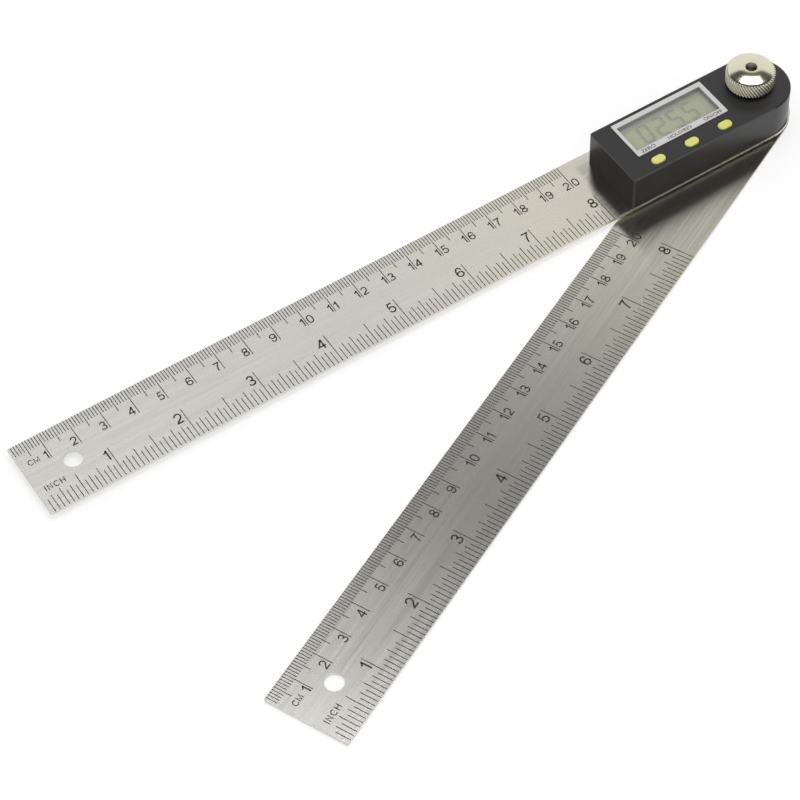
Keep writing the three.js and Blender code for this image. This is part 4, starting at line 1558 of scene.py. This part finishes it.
@dataclass(frozen=True)
class Display:
    """The display's frame, window, figures and legends.

    Attributes are its sizes and places in millimetres, mostly as the CAD solids have them.
    well_drop is how far below the frame's top the painted shade on the walls begins, and each film
    has how far its upper face stands above what it lies on, and its thickness. dot_place counts in
    figures.
    """

    window: Bounds = (-47.45, -14.95, -3.95, 7.4)
    flange: Bounds = (-48.6, -13.4, -6.3, 9.2)
    low: float = 15.7
    high: float = 16.0
    corner: float = 0.4
    corner_steps: int = 5
    soft_edge: float = 0.07
    skirt: float = 0.35
    skirt_low: float = 15.1
    skirt_drop: float = 0.1
    well_drop: float = 0.09
    window_play: float = 0.05
    pane_low: float = 14.22
    pane_high: float = 15.0
    pane_edge: float = 0.08
    glass_top: float = 14.1
    reading: str = "0255"
    dot_place: float = 2.5
    digit_height: float = 8.1
    digit_width: float = 4.1
    digit_pitch: float = 5.87
    first_digit_x: float = -39.9
    digit_y: float = 1.6
    segment_width: float = 0.85
    segment_gap: float = 0.12
    slant_degrees: float = 5
    figure_film: Point = (0.020, 0.015)
    shadow_film: Point = (0.012, 0.010)
    shadow_offset: Point = (-0.42, 0.38)
    legend_film: Point = (0.008, 0.012)
    legend_y: float = -5.78
    legend_height: float = 1.3
    legend_weight: float = 0.008
    legend_steps: int = 6

    def build_frame(self) -> None:
        """The light frame round the window, with the walls of its well darkened by painted shade."""
        frame = box(*self.flange, self.low, self.high)
        round_edges(frame, upright, self.corner, self.corner_steps)
        skirt = box(*grown(self.window, self.skirt), self.skirt_low, self.high - self.skirt_drop)
        combine(frame, skirt, Operation.JOIN)
        hole = box(*self.window, self.skirt_low - OVERRUN, self.high + OVERRUN)
        combine(frame, hole, Operation.CUT)
        soften_edges(frame, self.soft_edge, angle=MOULDED)
        shade(frame, MOULDED, weighted=True)
        # The frame's walls below its top get painted shade.
        limit = self.high - self.well_drop
        dress_faces(
            frame, FRAME, (WELL_SHADE, lambda face: face.center.z < limit and not near(face.center.z, self.low))
        )
        hand_over(frame, "display_frame", Body.HEAD, FRAME, ["display_bezel"])

    def build_window(self) -> None:
        """The clear window under the frame, with a border of painted shade round it."""
        left, right, front, rear = self.window
        rim = self.skirt - self.window_play
        pane = box(*grown(self.window, rim), self.pane_low, self.pane_high)
        soften_edges(pane, self.pane_edge)
        with editing(pane):
            select(pane, Part.FACE, lambda face: abs(face.normal.z) > FLAT)
            bpy.ops.mesh.inset(thickness=rim - self.pane_edge)
        shade(pane)
        # The pane's border, outside the opening, gets painted shade.
        dress_faces(
            pane,
            WINDOW,
            (WELL_SHADE, lambda face: not (left < face.center.x < right and front < face.center.y < rear)),
        )
        hand_over(pane, "display_window", Body.HEAD, WINDOW, ["display_lens"])

    def bar(self, x: float, y: float, length: float, upright_bar: bool) -> bpy.types.Object:
        """One segment: a flat bar with pointed ends.

        Args:
            x: X of its middle.
            y: Y of its middle.
            length: its length from point to point.
            upright_bar: True if it runs along Y.

        Returns:
            The flat bar.
        """
        half, reach = self.segment_width / 2, length / 2
        inner = reach - half
        outline = [(reach, 0), (inner, half), (-inner, half), (-reach, 0), (-inner, -half), (inner, -half)]
        bpy.ops.mesh.primitive_circle_add(vertices=len(outline), fill_type="NGON")
        segment = bpy.context.object
        for vertex, place in zip(segment.data.vertices, outline):
            right, up = place[::-1] if upright_bar else place
            vertex.co = Vector((x + right, y + up, 0))
        return segment

    def digit(self, shown: str, x: float) -> list[bpy.types.Object]:
        """One seven-segment figure.

        Args:
            shown: the names of its lit segments, from a to g.
            x: X of its middle.

        Returns:
            The flat bars.
        """
        half_w = (self.digit_width - self.segment_width) / 2
        half_h = (self.digit_height - self.segment_width) / 2
        across, along = 2 * half_w - self.segment_gap, half_h - self.segment_gap
        places = {
            "a": (x, half_h, across, False),
            "b": (x + half_w, half_h / 2, along, True),
            "c": (x + half_w, -half_h / 2, along, True),
            "d": (x, -half_h, across, False),
            "e": (x - half_w, -half_h / 2, along, True),
            "f": (x - half_w, half_h / 2, along, True),
            "g": (x, 0, across, False),
        }
        return [self.bar(*places[name]) for name in shown]

    def build_figures(self) -> None:
        """The reading of the display, and its shadow on the reflector behind it."""
        bars = []
        for index, figure in enumerate(self.reading):
            bars += self.digit(SEGMENTS[figure], self.first_digit_x + index * self.digit_pitch)
        dot_x = self.first_digit_x + self.dot_place * self.digit_pitch
        dot_y = (self.segment_width - self.digit_height) / 2
        bpy.ops.mesh.primitive_plane_add(size=self.segment_width, location=(dot_x, dot_y, 0))
        bars.append(settle_place(bpy.context.object))
        figures = join(bars)
        lean = Matrix.Identity(4)
        lean[0][1] = math.tan(math.radians(self.slant_degrees))
        figures.data.transform(lean)
        figures.data.transform(shift(y=self.digit_y))
        shadows = copy_of(figures, shift(*self.shadow_offset))
        for flat, name, (rise, thickness), ink in (
            (shadows, "display_figure_shadows", self.shadow_film, SHADOW),
            (figures, "display_figures", self.figure_film, SEGMENT),
        ):
            raise_flat(flat, self.glass_top + rise, thickness)
            hand_over(flat, name, Body.HEAD, ink)

    def legend(self, text: str, left: float, right: float) -> None:
        """A printed word on the frame, fitted between two places.

        Args:
            text: the word.
            left: X of its left end.
            right: X of its right end.
        """
        bpy.ops.object.text_add()
        word = bpy.context.object
        word.data.body = text
        word.data.size = 1
        word.data.offset = self.legend_weight
        word.data.resolution_u = self.legend_steps
        make_active(word)
        bpy.ops.object.convert(target="MESH")
        flat = bpy.context.object
        places = [vertex.co.copy() for vertex in flat.data.vertices]
        low, high = Vector(map(min, *places)), Vector(map(max, *places))
        wide, tall = (right - left) / (high.x - low.x), self.legend_height / (high.y - low.y)
        flat.data.transform(Matrix.Diagonal((wide, tall, 0, 1)) @ Matrix.Translation(-low))
        flat.data.transform(shift(left, self.legend_y))
        rise, thickness = self.legend_film
        raise_flat(flat, self.high + rise, thickness)
        name = "legend_" + text.split("/")[0].lower()
        hand_over(flat, name, Body.HEAD, LEGEND)

    def build(self) -> None:
        """Builds every piece of the display."""
        self.build_frame()
        self.build_window()
        self.build_figures()
        for text, left, right in LEGENDS:
            self.legend(text, left, right)


# Buttons


@dataclass(frozen=True)
class Button:
    """A soft push button with its rim and plunger.

    Attributes:
        name: its word.
        body: the body that it rides on.
        x: X of its middle.

    The others are its sizes and places in millimetres, as the CAD solid has them, and tuck keeps
    its faces from lying in those of the rim.
    """

    name: str
    body: Body
    x: float
    y: float = -10.4
    length: float = 5.0
    width: float = 3.15
    high: float = 16.1
    rim_low: float = 13.25
    rim_high: float = 14.05
    rim_length: float = 6.6
    plunger_radius: float = 1.1
    plunger_low: float = 11.95
    plunger_steps: int = 32
    crown: float = 0.5
    crown_steps: int = 6
    tuck: float = 0.05

    def build(self) -> None:
        """Builds the button, with a rounded cap."""
        cap = capsule(self.x, self.y, self.length, self.width, self.rim_low + self.tuck, self.high)
        round_top(cap, self.high, self.crown, self.crown_steps)
        rim = capsule(
            self.x, self.y, self.rim_length, self.width - self.tuck, self.rim_low, self.rim_high
        )
        combine(cap, rim, Operation.JOIN)
        top = self.rim_high - self.tuck
        plunger = rod(self.plunger_radius, self.plunger_low, top, self.x, self.y, self.plunger_steps)
        combine(cap, plunger, Operation.JOIN)
        shade(cap, MOULDED, weighted=True)
        hand_over(
            cap, f"push_{self.name}", self.body, RUBBER, [f"button_{self.name}"]
        )


# Lock knob and pivot


@dataclass(frozen=True)
class LockKnob:
    """The knurled knob that locks the arms, with a polished dome and a threaded bore.

    Attributes are its sizes in millimetres. dome_slopes has the slope at some radii, in degrees,
    least_groove is the share of the groove's depth at the rim, where knurl_start begins,
    thread_run_out is counted in turns, side_limit is the steepest normal that still belongs to
    the side, and edges sharper than crisp degrees aren't shaded smooth.
    """

    low: float = 16.6
    high: float = 22.7
    radius: float = 8.05
    straight_high: float = 20.5
    dome_slopes: tuple[Point, ...] = ((1.95, 0.5), (3.3, 8), (4.8, 17.5), (6.7, 18.5), (7.1, 25), (7.4, 42))
    dome_step: float = 0.2
    shoulder_steps: int = 8
    foot: float = 0.12
    knurl_depth: float = 0.46
    knurl_start: float = 0.02
    knurl_fade: float = 0.5
    least_groove: float = 0.2
    teeth: int = 48
    lean_degrees: float = 31
    points_a_tooth: int = 8
    rows: int = 10
    bore: float = 1.66
    thread_depth: float = 0.26
    thread_pitch: float = 0.7
    thread_run_out: float = 1.5
    mouth_depth: float = 0.16
    foot_chamfer: float = 0.3
    side_limit: float = 0.9
    crisp: float = 28

    @property
    def rim(self) -> Point:
        """The radius and the height of the dome's rim."""
        return self.dome()[0]

    def dome(self) -> list[Point]:
        """The polished dome, from its rim up to the mouth of the bore."""
        height = self.high
        points = [(self.dome_slopes[0][0], height)]
        for (start, start_slope), (end, end_slope) in zip(self.dome_slopes, self.dome_slopes[1:]):
            steps = math.ceil((end - start) / self.dome_step)
            width = (end - start) / steps
            for step in range(steps):
                slope = start_slope + (end_slope - start_slope) * (step + 0.5) / steps
                height -= width * math.tan(math.radians(slope))
                points.append((start + width * (step + 1), height))
        return points[::-1]

    def side(self) -> list[Point]:
        """The knurled side and its round shoulder, from the underside up to the dome's rim."""
        rise = (self.straight_high - self.low - self.foot) / self.rows
        points = [(self.radius - self.foot, self.low)]
        points += [(self.radius, self.low + self.foot + rise * row) for row in range(self.rows + 1)]
        rim_radius, rim_height = self.rim
        across, upward = self.radius - rim_radius, rim_height - self.straight_high
        for step in range(1, self.shoulder_steps):
            angle = step / self.shoulder_steps * math.pi / 2
            inward = 1 - math.cos(angle)
            points.append((self.radius - across * inward, self.straight_high + upward * math.sin(angle)))
        return points

    def thread(self) -> list[Point]:
        """The threaded bore, from its mouth down."""
        crest, root = self.bore, self.bore + self.thread_depth
        height = self.high - self.mouth_depth
        points = [(root, height)]
        while height > self.low + self.thread_run_out * self.thread_pitch:
            points.append((crest, height - self.thread_pitch / 2))
            height -= self.thread_pitch
            points.append((root, height))
        return points + [(root, self.low + self.foot_chamfer), (root + self.foot_chamfer, self.low)]

    def knurl(self, piece: bpy.types.Object) -> None:
        """Presses the slanted grooves into the side of the turned form.

        Args:
            piece: the turned form, whose rings have a fixed number of points a tooth.
        """
        rim_radius, _ = self.rim
        lean = math.tan(math.radians(self.lean_degrees)) / self.radius
        hollow = piece.data.attributes.new(HOLLOW, "FLOAT", "POINT")
        for vertex in piece.data.vertices:
            flat, height = vertex.co.xy, vertex.co.z
            reach = flat.length
            if reach < rim_radius + self.knurl_start:
                continue
            angle = math.atan2(flat.y, flat.x) + (height - self.low) * lean
            phase = angle * self.teeth / (2 * math.pi) % 1
            groove = 1 - math.sin(math.pi * phase)
            fade = min(1.0, (reach - rim_radius) / self.knurl_fade + self.least_groove)
            hollow.data[vertex.index].value = groove * fade
            vertex.co.xy = flat * (1 - self.knurl_depth * fade * groove / reach)

    def build(self) -> None:
        """Builds the knob."""
        profile = self.side() + self.dome() + self.thread()
        knob = turned(profile, self.teeth * self.points_a_tooth, closed=True)
        self.knurl(knob)
        shade(knob, self.crisp)
        rim_radius, _ = self.rim
        thread_root = self.bore + self.thread_depth
        thread_high = self.high - self.mouth_depth
        limit = self.side_limit
        # The bore takes the steel darkened with painted shade.
        dress_faces(
            knob,
            NICKEL,
            (KNURL, lambda face: face.center.xy.length > rim_radius and abs(face.normal.z) < limit),
            (BORE_SHADE_STEEL, lambda face: face.center.xy.length < thread_root and face.center.z < thread_high),
        )
        knob.data.transform(Matrix.Rotation(REST_TURN, 4, "Z"))
        hand_over(knob, "knurled_knob", Body.KNOB, NICKEL, ["lock_knob"])


@dataclass(frozen=True)
class Pivot:
    """The turned pieces on the pivot axis, and the screws that hold the rules.

    Attributes are their sizes and places in millimetres, as the CAD solids have them, but for
    the broken edges, the stud's thread and the turns of the cross recesses, in degrees. The
    stud's collar has its radius, its underside and its top.
    """

    stud_low: float = 2.1
    stud_high: float = 20.5
    stud_collar: Triple = (4.0, 7.85, 8.65)
    stud_steps: int = 64
    shank: float = 2.0
    thread: float = 1.7
    thread_start: float = 16.15
    thread_lead: float = 0.3
    thread_end: float = 0.5
    thread_depth: float = 0.16
    thread_pitch: float = 0.7
    tip_chamfer: float = 0.3
    bush_low: float = 12.2
    bush_seat: float = 15.7
    bush_high: float = 16.2
    bush_radius: float = 3.5
    bush_edge: float = 0.08
    bush_steps: int = 96
    flange_radius: float = 5.2
    bore: float = 2.15
    ring_edge: float = 0.06
    ring_steps: int = 128
    washer_high: float = 16.6
    friction_radius: float = 11
    friction_bore: float = 6.7
    friction_low: float = 1.0
    friction_high: float = 1.7
    hub_screws: int = 3
    hub_screw_circle: float = 4.4
    hub_screw_length: float = 4.6
    housing_screws: tuple[Point, ...] = tuple(sorted(Housing.bosses))
    housing_screw_length: float = 7
    housing_screw_low: float = 1.7
    first_cross: float = 20
    cross_step: float = 50

    def build_bush(self) -> None:
        """The flanged bush in the housing's top."""
        edge = self.bush_edge
        bush = turned(
            [
                (self.bore, self.bush_low), (self.bush_radius, self.bush_low),
                (self.bush_radius, self.bush_seat), (self.flange_radius, self.bush_seat),
                (self.flange_radius, self.bush_high - edge),
                (self.flange_radius - edge, self.bush_high), (self.bore, self.bush_high),
            ],
            self.bush_steps,
            closed=True,
        )
        shade(bush)
        hand_over(bush, "flanged_bush", Body.HEAD, ZINC, ["pivot_bush"])

    def ring(self, outer: float, bore: float, low: float, high: float) -> bpy.types.Object:
        """A flat ring between two radii and two heights, with slightly broken edges."""
        edge = self.ring_edge
        made = turned(
            [
                (bore, low), (outer - edge, low),
                (outer, low + edge), (outer, high - edge),
                (outer - edge, high), (bore, high),
            ],
            self.ring_steps,
            closed=True,
        )
        shade(made)
        return made

    def build_washers(self) -> None:
        """The washer under the knob and the one between the rules."""
        washer = self.ring(self.flange_radius, self.bore, self.bush_high, self.washer_high)
        hand_over(washer, "knob_seat_washer", Body.KNOB_SEAT, ZINC, ["knob_washer"])
        spacer = self.ring(self.friction_radius, self.friction_bore, self.friction_low, self.friction_high)
        hand_over(spacer, "nylon_spacer", Body.LOWER_ARM, NYLON, ["friction_washer"])

    def build_stud(self) -> None:
        """The stud, with its collar and thread."""
        collar, collar_low, collar_high = self.stud_collar
        profile = [
            (0, self.stud_low), (self.shank, self.stud_low),
            (self.shank, collar_low), (collar, collar_low),
            (collar, collar_high), (self.shank, collar_high),
            (self.shank, self.thread_start),
        ]
        height, root = self.thread_start + self.thread_lead, self.thread - self.thread_depth
        while height < self.stud_high - self.thread_end:
            profile += [(root, height), (self.thread, height + self.thread_pitch / 2)]
            height += self.thread_pitch
        profile += [(self.thread - self.tip_chamfer, self.stud_high), (0, self.stud_high)]
        stud = turned(profile, self.stud_steps)
        shade(stud)
        # The stud takes the steel darkened with painted shade, as it is seen down the knob's bore.
        hand_over(stud, "threaded_stud", Body.LOWER_ARM, BORE_SHADE_STEEL, ["pivot_stud"])

    def hub_screw_angles(self) -> list[float]:
        """The hub screws' angles on the unturned lower rule, in radians."""
        return [(index + 0.5) * 2 * math.pi / self.hub_screws for index in range(self.hub_screws)]

    def hub_screw_place(self, angle: float) -> Point:
        """The place of a hub screw at an angle in radians."""
        return self.hub_screw_circle * math.cos(angle), self.hub_screw_circle * math.sin(angle)

    def place_screws(self, kind: str, length: float, body: Body, places: Sequence[Matrix]) -> None:
        """Builds one screw and hands over its copies.

        Args:
            kind: the first word of the CAD nodes' names.
            length: the screws' length.
            body: the body that they ride on.
            places: where the copies go.
        """
        master = CountersunkScrew(length).build()
        for number, place in enumerate(places, 1):
            node = f"{kind}_screw_{number}"
            hand_over(copy_of(master, place), f"{node}_cross", body, ZINC, [node])
        bpy.data.objects.remove(master)

    def build_screws(self) -> None:
        """The hub screws and the housing screws."""
        turns = [angle + REST_TURN for angle in self.hub_screw_angles()]
        places = [shift(*self.hub_screw_place(turn)) @ Matrix.Rotation(turn, 4, "Z") for turn in turns]
        self.place_screws("hub", self.hub_screw_length, Body.LOWER_ARM, places)
        places = []
        for index, (x, y) in enumerate(self.housing_screws):
            cross = Matrix.Rotation(math.radians(self.first_cross + self.cross_step * index), 4, "Z")
            places.append(shift(x, y, self.housing_screw_low) @ cross)
        self.place_screws("housing", self.housing_screw_length, Body.HEAD, places)

    def build(self) -> None:
        """Builds every piece on the pivot axis."""
        self.build_bush()
        self.build_washers()
        self.build_stud()
        self.build_screws()


# Battery drawer


@dataclass(frozen=True)
class Drawer:
    """The battery drawer in the rear side, with its coin cell.

    Attributes are their sizes and places in millimetres, as the CAD solids have them, but for
    the chamfers and softened edges. floor_tuck is how far the floor and the rails run into the
    front plate, and cap_shoulder how far in and up the cap's rounded edge has its middle.
    """

    left: float = -42.2
    right: float = -20.4
    front: float = -9.45
    rear: float = 10.85
    wall_inner: float = 9.45
    low: float = 2.7
    high: float = 7.9
    floor_top: float = 3.4
    rail_high: float = 5.2
    rail: float = 0.6
    floor_tuck: float = 0.7
    soft_edge: float = 0.10
    cell_x: float = -31.3
    cell_y: float = -0.85
    push_hole: float = 4
    hole_chamfer: float = 0.12
    hole_steps: int = 64
    groove_length: float = 9
    groove_low: float = 5.65
    groove_height: float = 1.1
    groove_depth: float = 0.5
    cell_radius: float = 10
    cell_height: float = 3.2
    cell_edge: float = 0.35
    cell_chamfer: float = 0.1
    cell_steps: int = 128
    cap_radius: float = 8.8
    cap_rise: float = 0.3
    cap_shoulder: Point = (0.12, 0.2)

    def hole_cutter(self) -> bpy.types.Object:
        """The cutter of the hole that the cell is pushed out through, with both its rims chamfered."""
        wide = self.push_hole + self.hole_chamfer
        cutter = turned(
            [
                (0, self.low - OVERRUN), (wide, self.low - OVERRUN),
                (wide, self.low), (self.push_hole, self.low + self.hole_chamfer),
                (self.push_hole, self.floor_top - self.hole_chamfer),
                (wide, self.floor_top), (wide, self.floor_top + OVERRUN),
                (0, self.floor_top + OVERRUN),
            ],
            self.hole_steps,
        )
        cutter.data.transform(shift(self.cell_x, self.cell_y))
        return cutter

    def build_tray(self) -> None:
        """The drawer with its front plate, floor and rails."""
        inside = self.wall_inner + self.floor_tuck
        tray = box(self.left, self.right, self.wall_inner, self.rear, self.low, self.high)
        for start, end, top in (
            (self.left, self.right, self.floor_top),
            (self.left, self.left + self.rail, self.rail_high),
            (self.right - self.rail, self.right, self.rail_high),
        ):
            combine(tray, box(start, end, self.front, inside, self.low, top), Operation.JOIN)
        half = self.groove_length / 2
        left, right = self.cell_x - half, self.cell_x + half
        front, rear = self.rear - self.groove_depth, self.rear + OVERRUN
        low, high = self.groove_low, self.groove_low + self.groove_height
        groove = box(left, right, front, rear, low, high)
        combine(tray, groove, Operation.CUT)
        clean_cuts(tray)
        soften_edges(tray, self.soft_edge)
        combine(tray, self.hole_cutter(), Operation.CUT)
        shade(tray, MOULDED, weighted=True)
        hand_over(tray, "cell_tray", Body.DRAWER, SHELL, ["battery_drawer"])

    def build_cell(self) -> None:
        """The coin cell, with its stepped cap."""
        low, radius, edge, chamfer = self.floor_top, self.cell_radius, self.cell_edge, self.cell_chamfer
        rim = low + self.cell_height - self.cap_rise
        inward, upward = self.cap_shoulder
        cell = turned(
            [
                (0, low), (radius - edge, low),
                (radius - chamfer, low + chamfer), (radius, low + edge),
                (radius, rim - edge), (radius - chamfer, rim - chamfer),
                (radius - edge, rim), (self.cap_radius, rim),
                (self.cap_radius - inward, rim + upward),
                (self.cap_radius - self.cap_rise, rim + self.cap_rise),
                (0, rim + self.cap_rise),
            ],
            self.cell_steps,
        )
        shade(cell)
        cell.data.transform(shift(self.cell_x, self.cell_y))
        hand_over(cell, "cell_can", Body.DRAWER, CELL_CAN, ["coin_cell"])

    def build(self) -> None:
        """Builds the drawer and its cell."""
        self.build_tray()
        self.build_cell()


# CAD nodes that stay


KEPT_NODES: dict[Finish, tuple[str, ...]] = {
    ALLOY: ("pivot_hub",),
    BOARD: ("encoder_rotor", "circuit_board"),
    LCD: ("lcd_panel",),
    ZEBRA: ("zebra_strip_front", "zebra_strip_rear"),
    ZINC: ("board_screw_1", "board_screw_2"),
    RESIN: ("driver_chip", "switch_zero", "switch_hold", "switch_power"),
    BRASS: ("battery_contact_positive", "battery_contact_negative"),
}


def dress_kept_nodes(nodes: dict[str, bpy.types.Object]) -> None:
    """Gives the CAD nodes that stay their finishes.

    Args:
        nodes: the frame's nodes by name.
    """
    for finish, names in KEPT_NODES.items():
        for name in names:
            node = nodes[name]
            if not node.material_slots:
                node.data.materials.append(finish.material())
            for place in node.material_slots:
                place.material = finish.material()
            log.info("%s keeps its CAD mesh in %s", name, finish.name)


# Studio


@dataclass(frozen=True)
class Studio:
    """The floor, the soft lights and the camera.

    Attributes:
        camera_place: where the camera stands, in millimetres.
        camera_right, camera_up, camera_ahead: the right, the top and the depth of its picture.
        lens: its focal length, in millimetres.
        sensor: the width of its sensor, in millimetres.
        clip: the nearest and the farthest that it sees, in metres.
        floor_size: the side of the floor, in metres.
        floor_drop: how far the floor lies below the object, in metres.
        floor_glow: how much light of its own the floor shows.
        ambient: the surround's strength as a light.
        room_turn: the turn of the softbox and the ceiling about Z, in radians.
        softbox_size: its two sides, in metres.
        softbox_place: its middle, in metres.
        softbox_radiance: how bright it looks, where 1 is white.
        ceiling_height: how high the dark ceiling hangs, in metres.
        ceiling_edge: how far behind the pivot it ends, in metres.
        ceiling_front: how far before the pivot it ends, in metres, as a negative number.
        ceiling_width: its width, in metres.
        ceiling_glow: how bright it looks.
    """

    camera_place: Triple = (-410.746, -460.046, 662.629)
    camera_right: Triple = (0.840019, -0.541907, -0.026557)
    camera_up: Triple = (0.447686, 0.664651, 0.598177)
    camera_ahead: Triple = (0.306505, 0.514369, -0.800924)
    lens: float = 122.7364
    sensor: float = 36
    clip: Point = (0.01, 20)
    floor_size: float = 6
    floor_drop: float = 0.00005
    floor_glow: float = 0.54
    ambient: float = 0.66
    room_turn: float = -0.54
    softbox_size: Point = (1.092, 0.331)
    softbox_place: Triple = (0.2785, 0.2019, 1.744)
    softbox_radiance: float = 6.2
    ceiling_height: float = 1.764
    ceiling_edge: float = 1.299
    ceiling_front: float = -1.9
    ceiling_width: float = 8
    ceiling_glow: float = 0.045

    def build_camera(self) -> None:
        """The camera at the photograph's place."""
        lens = bpy.data.cameras.new("studio_camera")
        lens.lens = self.lens
        lens.sensor_width = self.sensor
        lens.clip_start, lens.clip_end = self.clip
        camera = bpy.data.objects.new("studio_camera", lens)
        bpy.context.scene.collection.objects.link(camera)
        right, up = Vector(self.camera_right), Vector(self.camera_up)
        back = -Vector(self.camera_ahead)
        turn = Matrix((right, up, back)).transposed().to_4x4()
        camera.matrix_world = Matrix.Translation(Vector(self.camera_place) * MM) @ turn
        bpy.context.scene.camera = camera

    def build_floor(self) -> None:
        """A plain white floor that keeps the object's soft shadow."""
        bpy.ops.mesh.primitive_plane_add(size=self.floor_size, location=(0, 0, -self.floor_drop))
        floor = bpy.context.object
        floor.name = "studio_floor"
        settle_place(floor)
        graph = Graph("studio_floor")
        grain = graph.noise(graph.place(), scale=40, detail=2)
        graph.set(
            {
                "Base Color": graph.blend(grain, (0.56, 0.56, 0.56), (0.58, 0.58, 0.58)),
                "Roughness": 0.9,
                "Specular IOR Level": 0.1,
            }
        )
        glow = graph.node("ShaderNodeEmission")
        glow.inputs["Color"].default_value = (1, 1, 1, 1)
        total = graph.node("ShaderNodeAddShader")
        lift = graph.node("ShaderNodeMath", operation="MULTIPLY")
        lift.inputs[1].default_value = self.floor_glow
        graph.link(graph.seen(), lift.inputs[0])
        graph.link(lift.outputs[0], glow.inputs["Strength"])
        output = graph.tree.nodes["Material Output"]
        graph.link(graph.shader.outputs["BSDF"], total.inputs[0])
        graph.link(glow.outputs["Emission"], total.inputs[1])
        graph.link(total.outputs["Shader"], output.inputs["Surface"])
        floor.data.materials.append(graph.material)

    def build_world(self) -> None:
        """A white surround that shows white to the camera and in gloss, and lights softly."""
        world = bpy.data.worlds.new("studio_world")
        world.use_nodes = True
        bpy.context.scene.world = world
        nodes = Nodes(world.node_tree)
        background = nodes.tree.nodes["Background"]
        background.inputs["Color"].default_value = (1, 1, 1, 1)
        strength = nodes.span(nodes.seen(), self.ambient, 1, start=0, end=1)
        nodes.link(strength, background.inputs["Strength"])

    def build_softbox(self) -> None:
        """The soft light overhead."""
        lamp = bpy.data.lights.new("softbox", "AREA")
        lamp.shape = "RECTANGLE"
        lamp.size, lamp.size_y = self.softbox_size
        lamp.energy = self.softbox_radiance * math.pi * lamp.size * lamp.size_y
        holder = bpy.data.objects.new("softbox", lamp)
        bpy.context.scene.collection.objects.link(holder)
        holder.location = self.softbox_place
        holder.rotation_euler = (0, 0, self.room_turn)

    def build_ceiling(self) -> None:
        """The dark ceiling round the softbox, which only reflections see."""
        depth = self.ceiling_edge - self.ceiling_front
        bpy.ops.mesh.primitive_plane_add(size=1, location=(0, self.ceiling_edge - depth / 2, 0))
        ceiling = bpy.context.object
        ceiling.name = "studio_ceiling"
        ceiling.scale = (self.ceiling_width, depth, 1)
        settle_place(ceiling)
        ceiling.data.transform(Matrix.Rotation(self.room_turn, 4, "Z"))
        ceiling.data.transform(Matrix.Translation((0, 0, self.ceiling_height)))
        graph = Graph("studio_ceiling")
        shadows = graph.noise(graph.place(), scale=1.5, detail=2)
        graph.set(
            {
                "Base Color": graph.blend(shadows, (0.02, 0.02, 0.02), (0.03, 0.03, 0.03)),
                "Roughness": 0.9,
                "Emission Color": (1.0, 0.95, 0.88, 1),
                "Emission Strength": self.ceiling_glow,
            }
        )
        ceiling.data.materials.append(graph.material)
        ceiling.visible_camera = False
        ceiling.visible_diffuse = False
        ceiling.visible_shadow = False

    def build(self) -> None:
        """Builds the studio."""
        self.build_camera()
        self.build_floor()
        self.build_world()
        self.build_softbox()
        self.build_ceiling()
        bpy.context.scene.view_settings.view_transform = "Standard"


def main() -> None:
    """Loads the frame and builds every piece."""
    logging.basicConfig(level=logging.INFO, format="%(message)s")
    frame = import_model()
    Studio().build()
    housing, pivot = Housing(), Pivot()
    hub_screws = tuple(pivot.hub_screw_place(angle) for angle in pivot.hub_screw_angles())
    low, bore = pivot.friction_high, pivot.friction_bore
    upper = RuleBlade(
        "rule_blade_upper", "upper_rule", Body.HEAD, low, UPPER_STEEL, housing.bosses, 0, bore
    )
    lower = RuleBlade(
        "rule_blade_lower", "lower_rule", Body.LOWER_ARM, 0, LOWER_STEEL, hub_screws, REST_TURN
    )
    upper.build()
    lower.build()
    EtchedScales("upper", Body.HEAD, upper.high).build()
    EtchedScales("lower", Body.LOWER_ARM, lower.high, REST_TURN).build()
    housing.build()
    Display().build()
    for name, body, x in zip(
        ("zero", "hold", "power"), (Body.ZERO_BUTTON, Body.HOLD_BUTTON, Body.POWER_BUTTON), housing.button_x
    ):
        Button(name, body, x).build()
    LockKnob().build()
    pivot.build()
    Drawer().build()
    dress_kept_nodes(frame["nodes"])


if __name__ == "__main__":
    main()
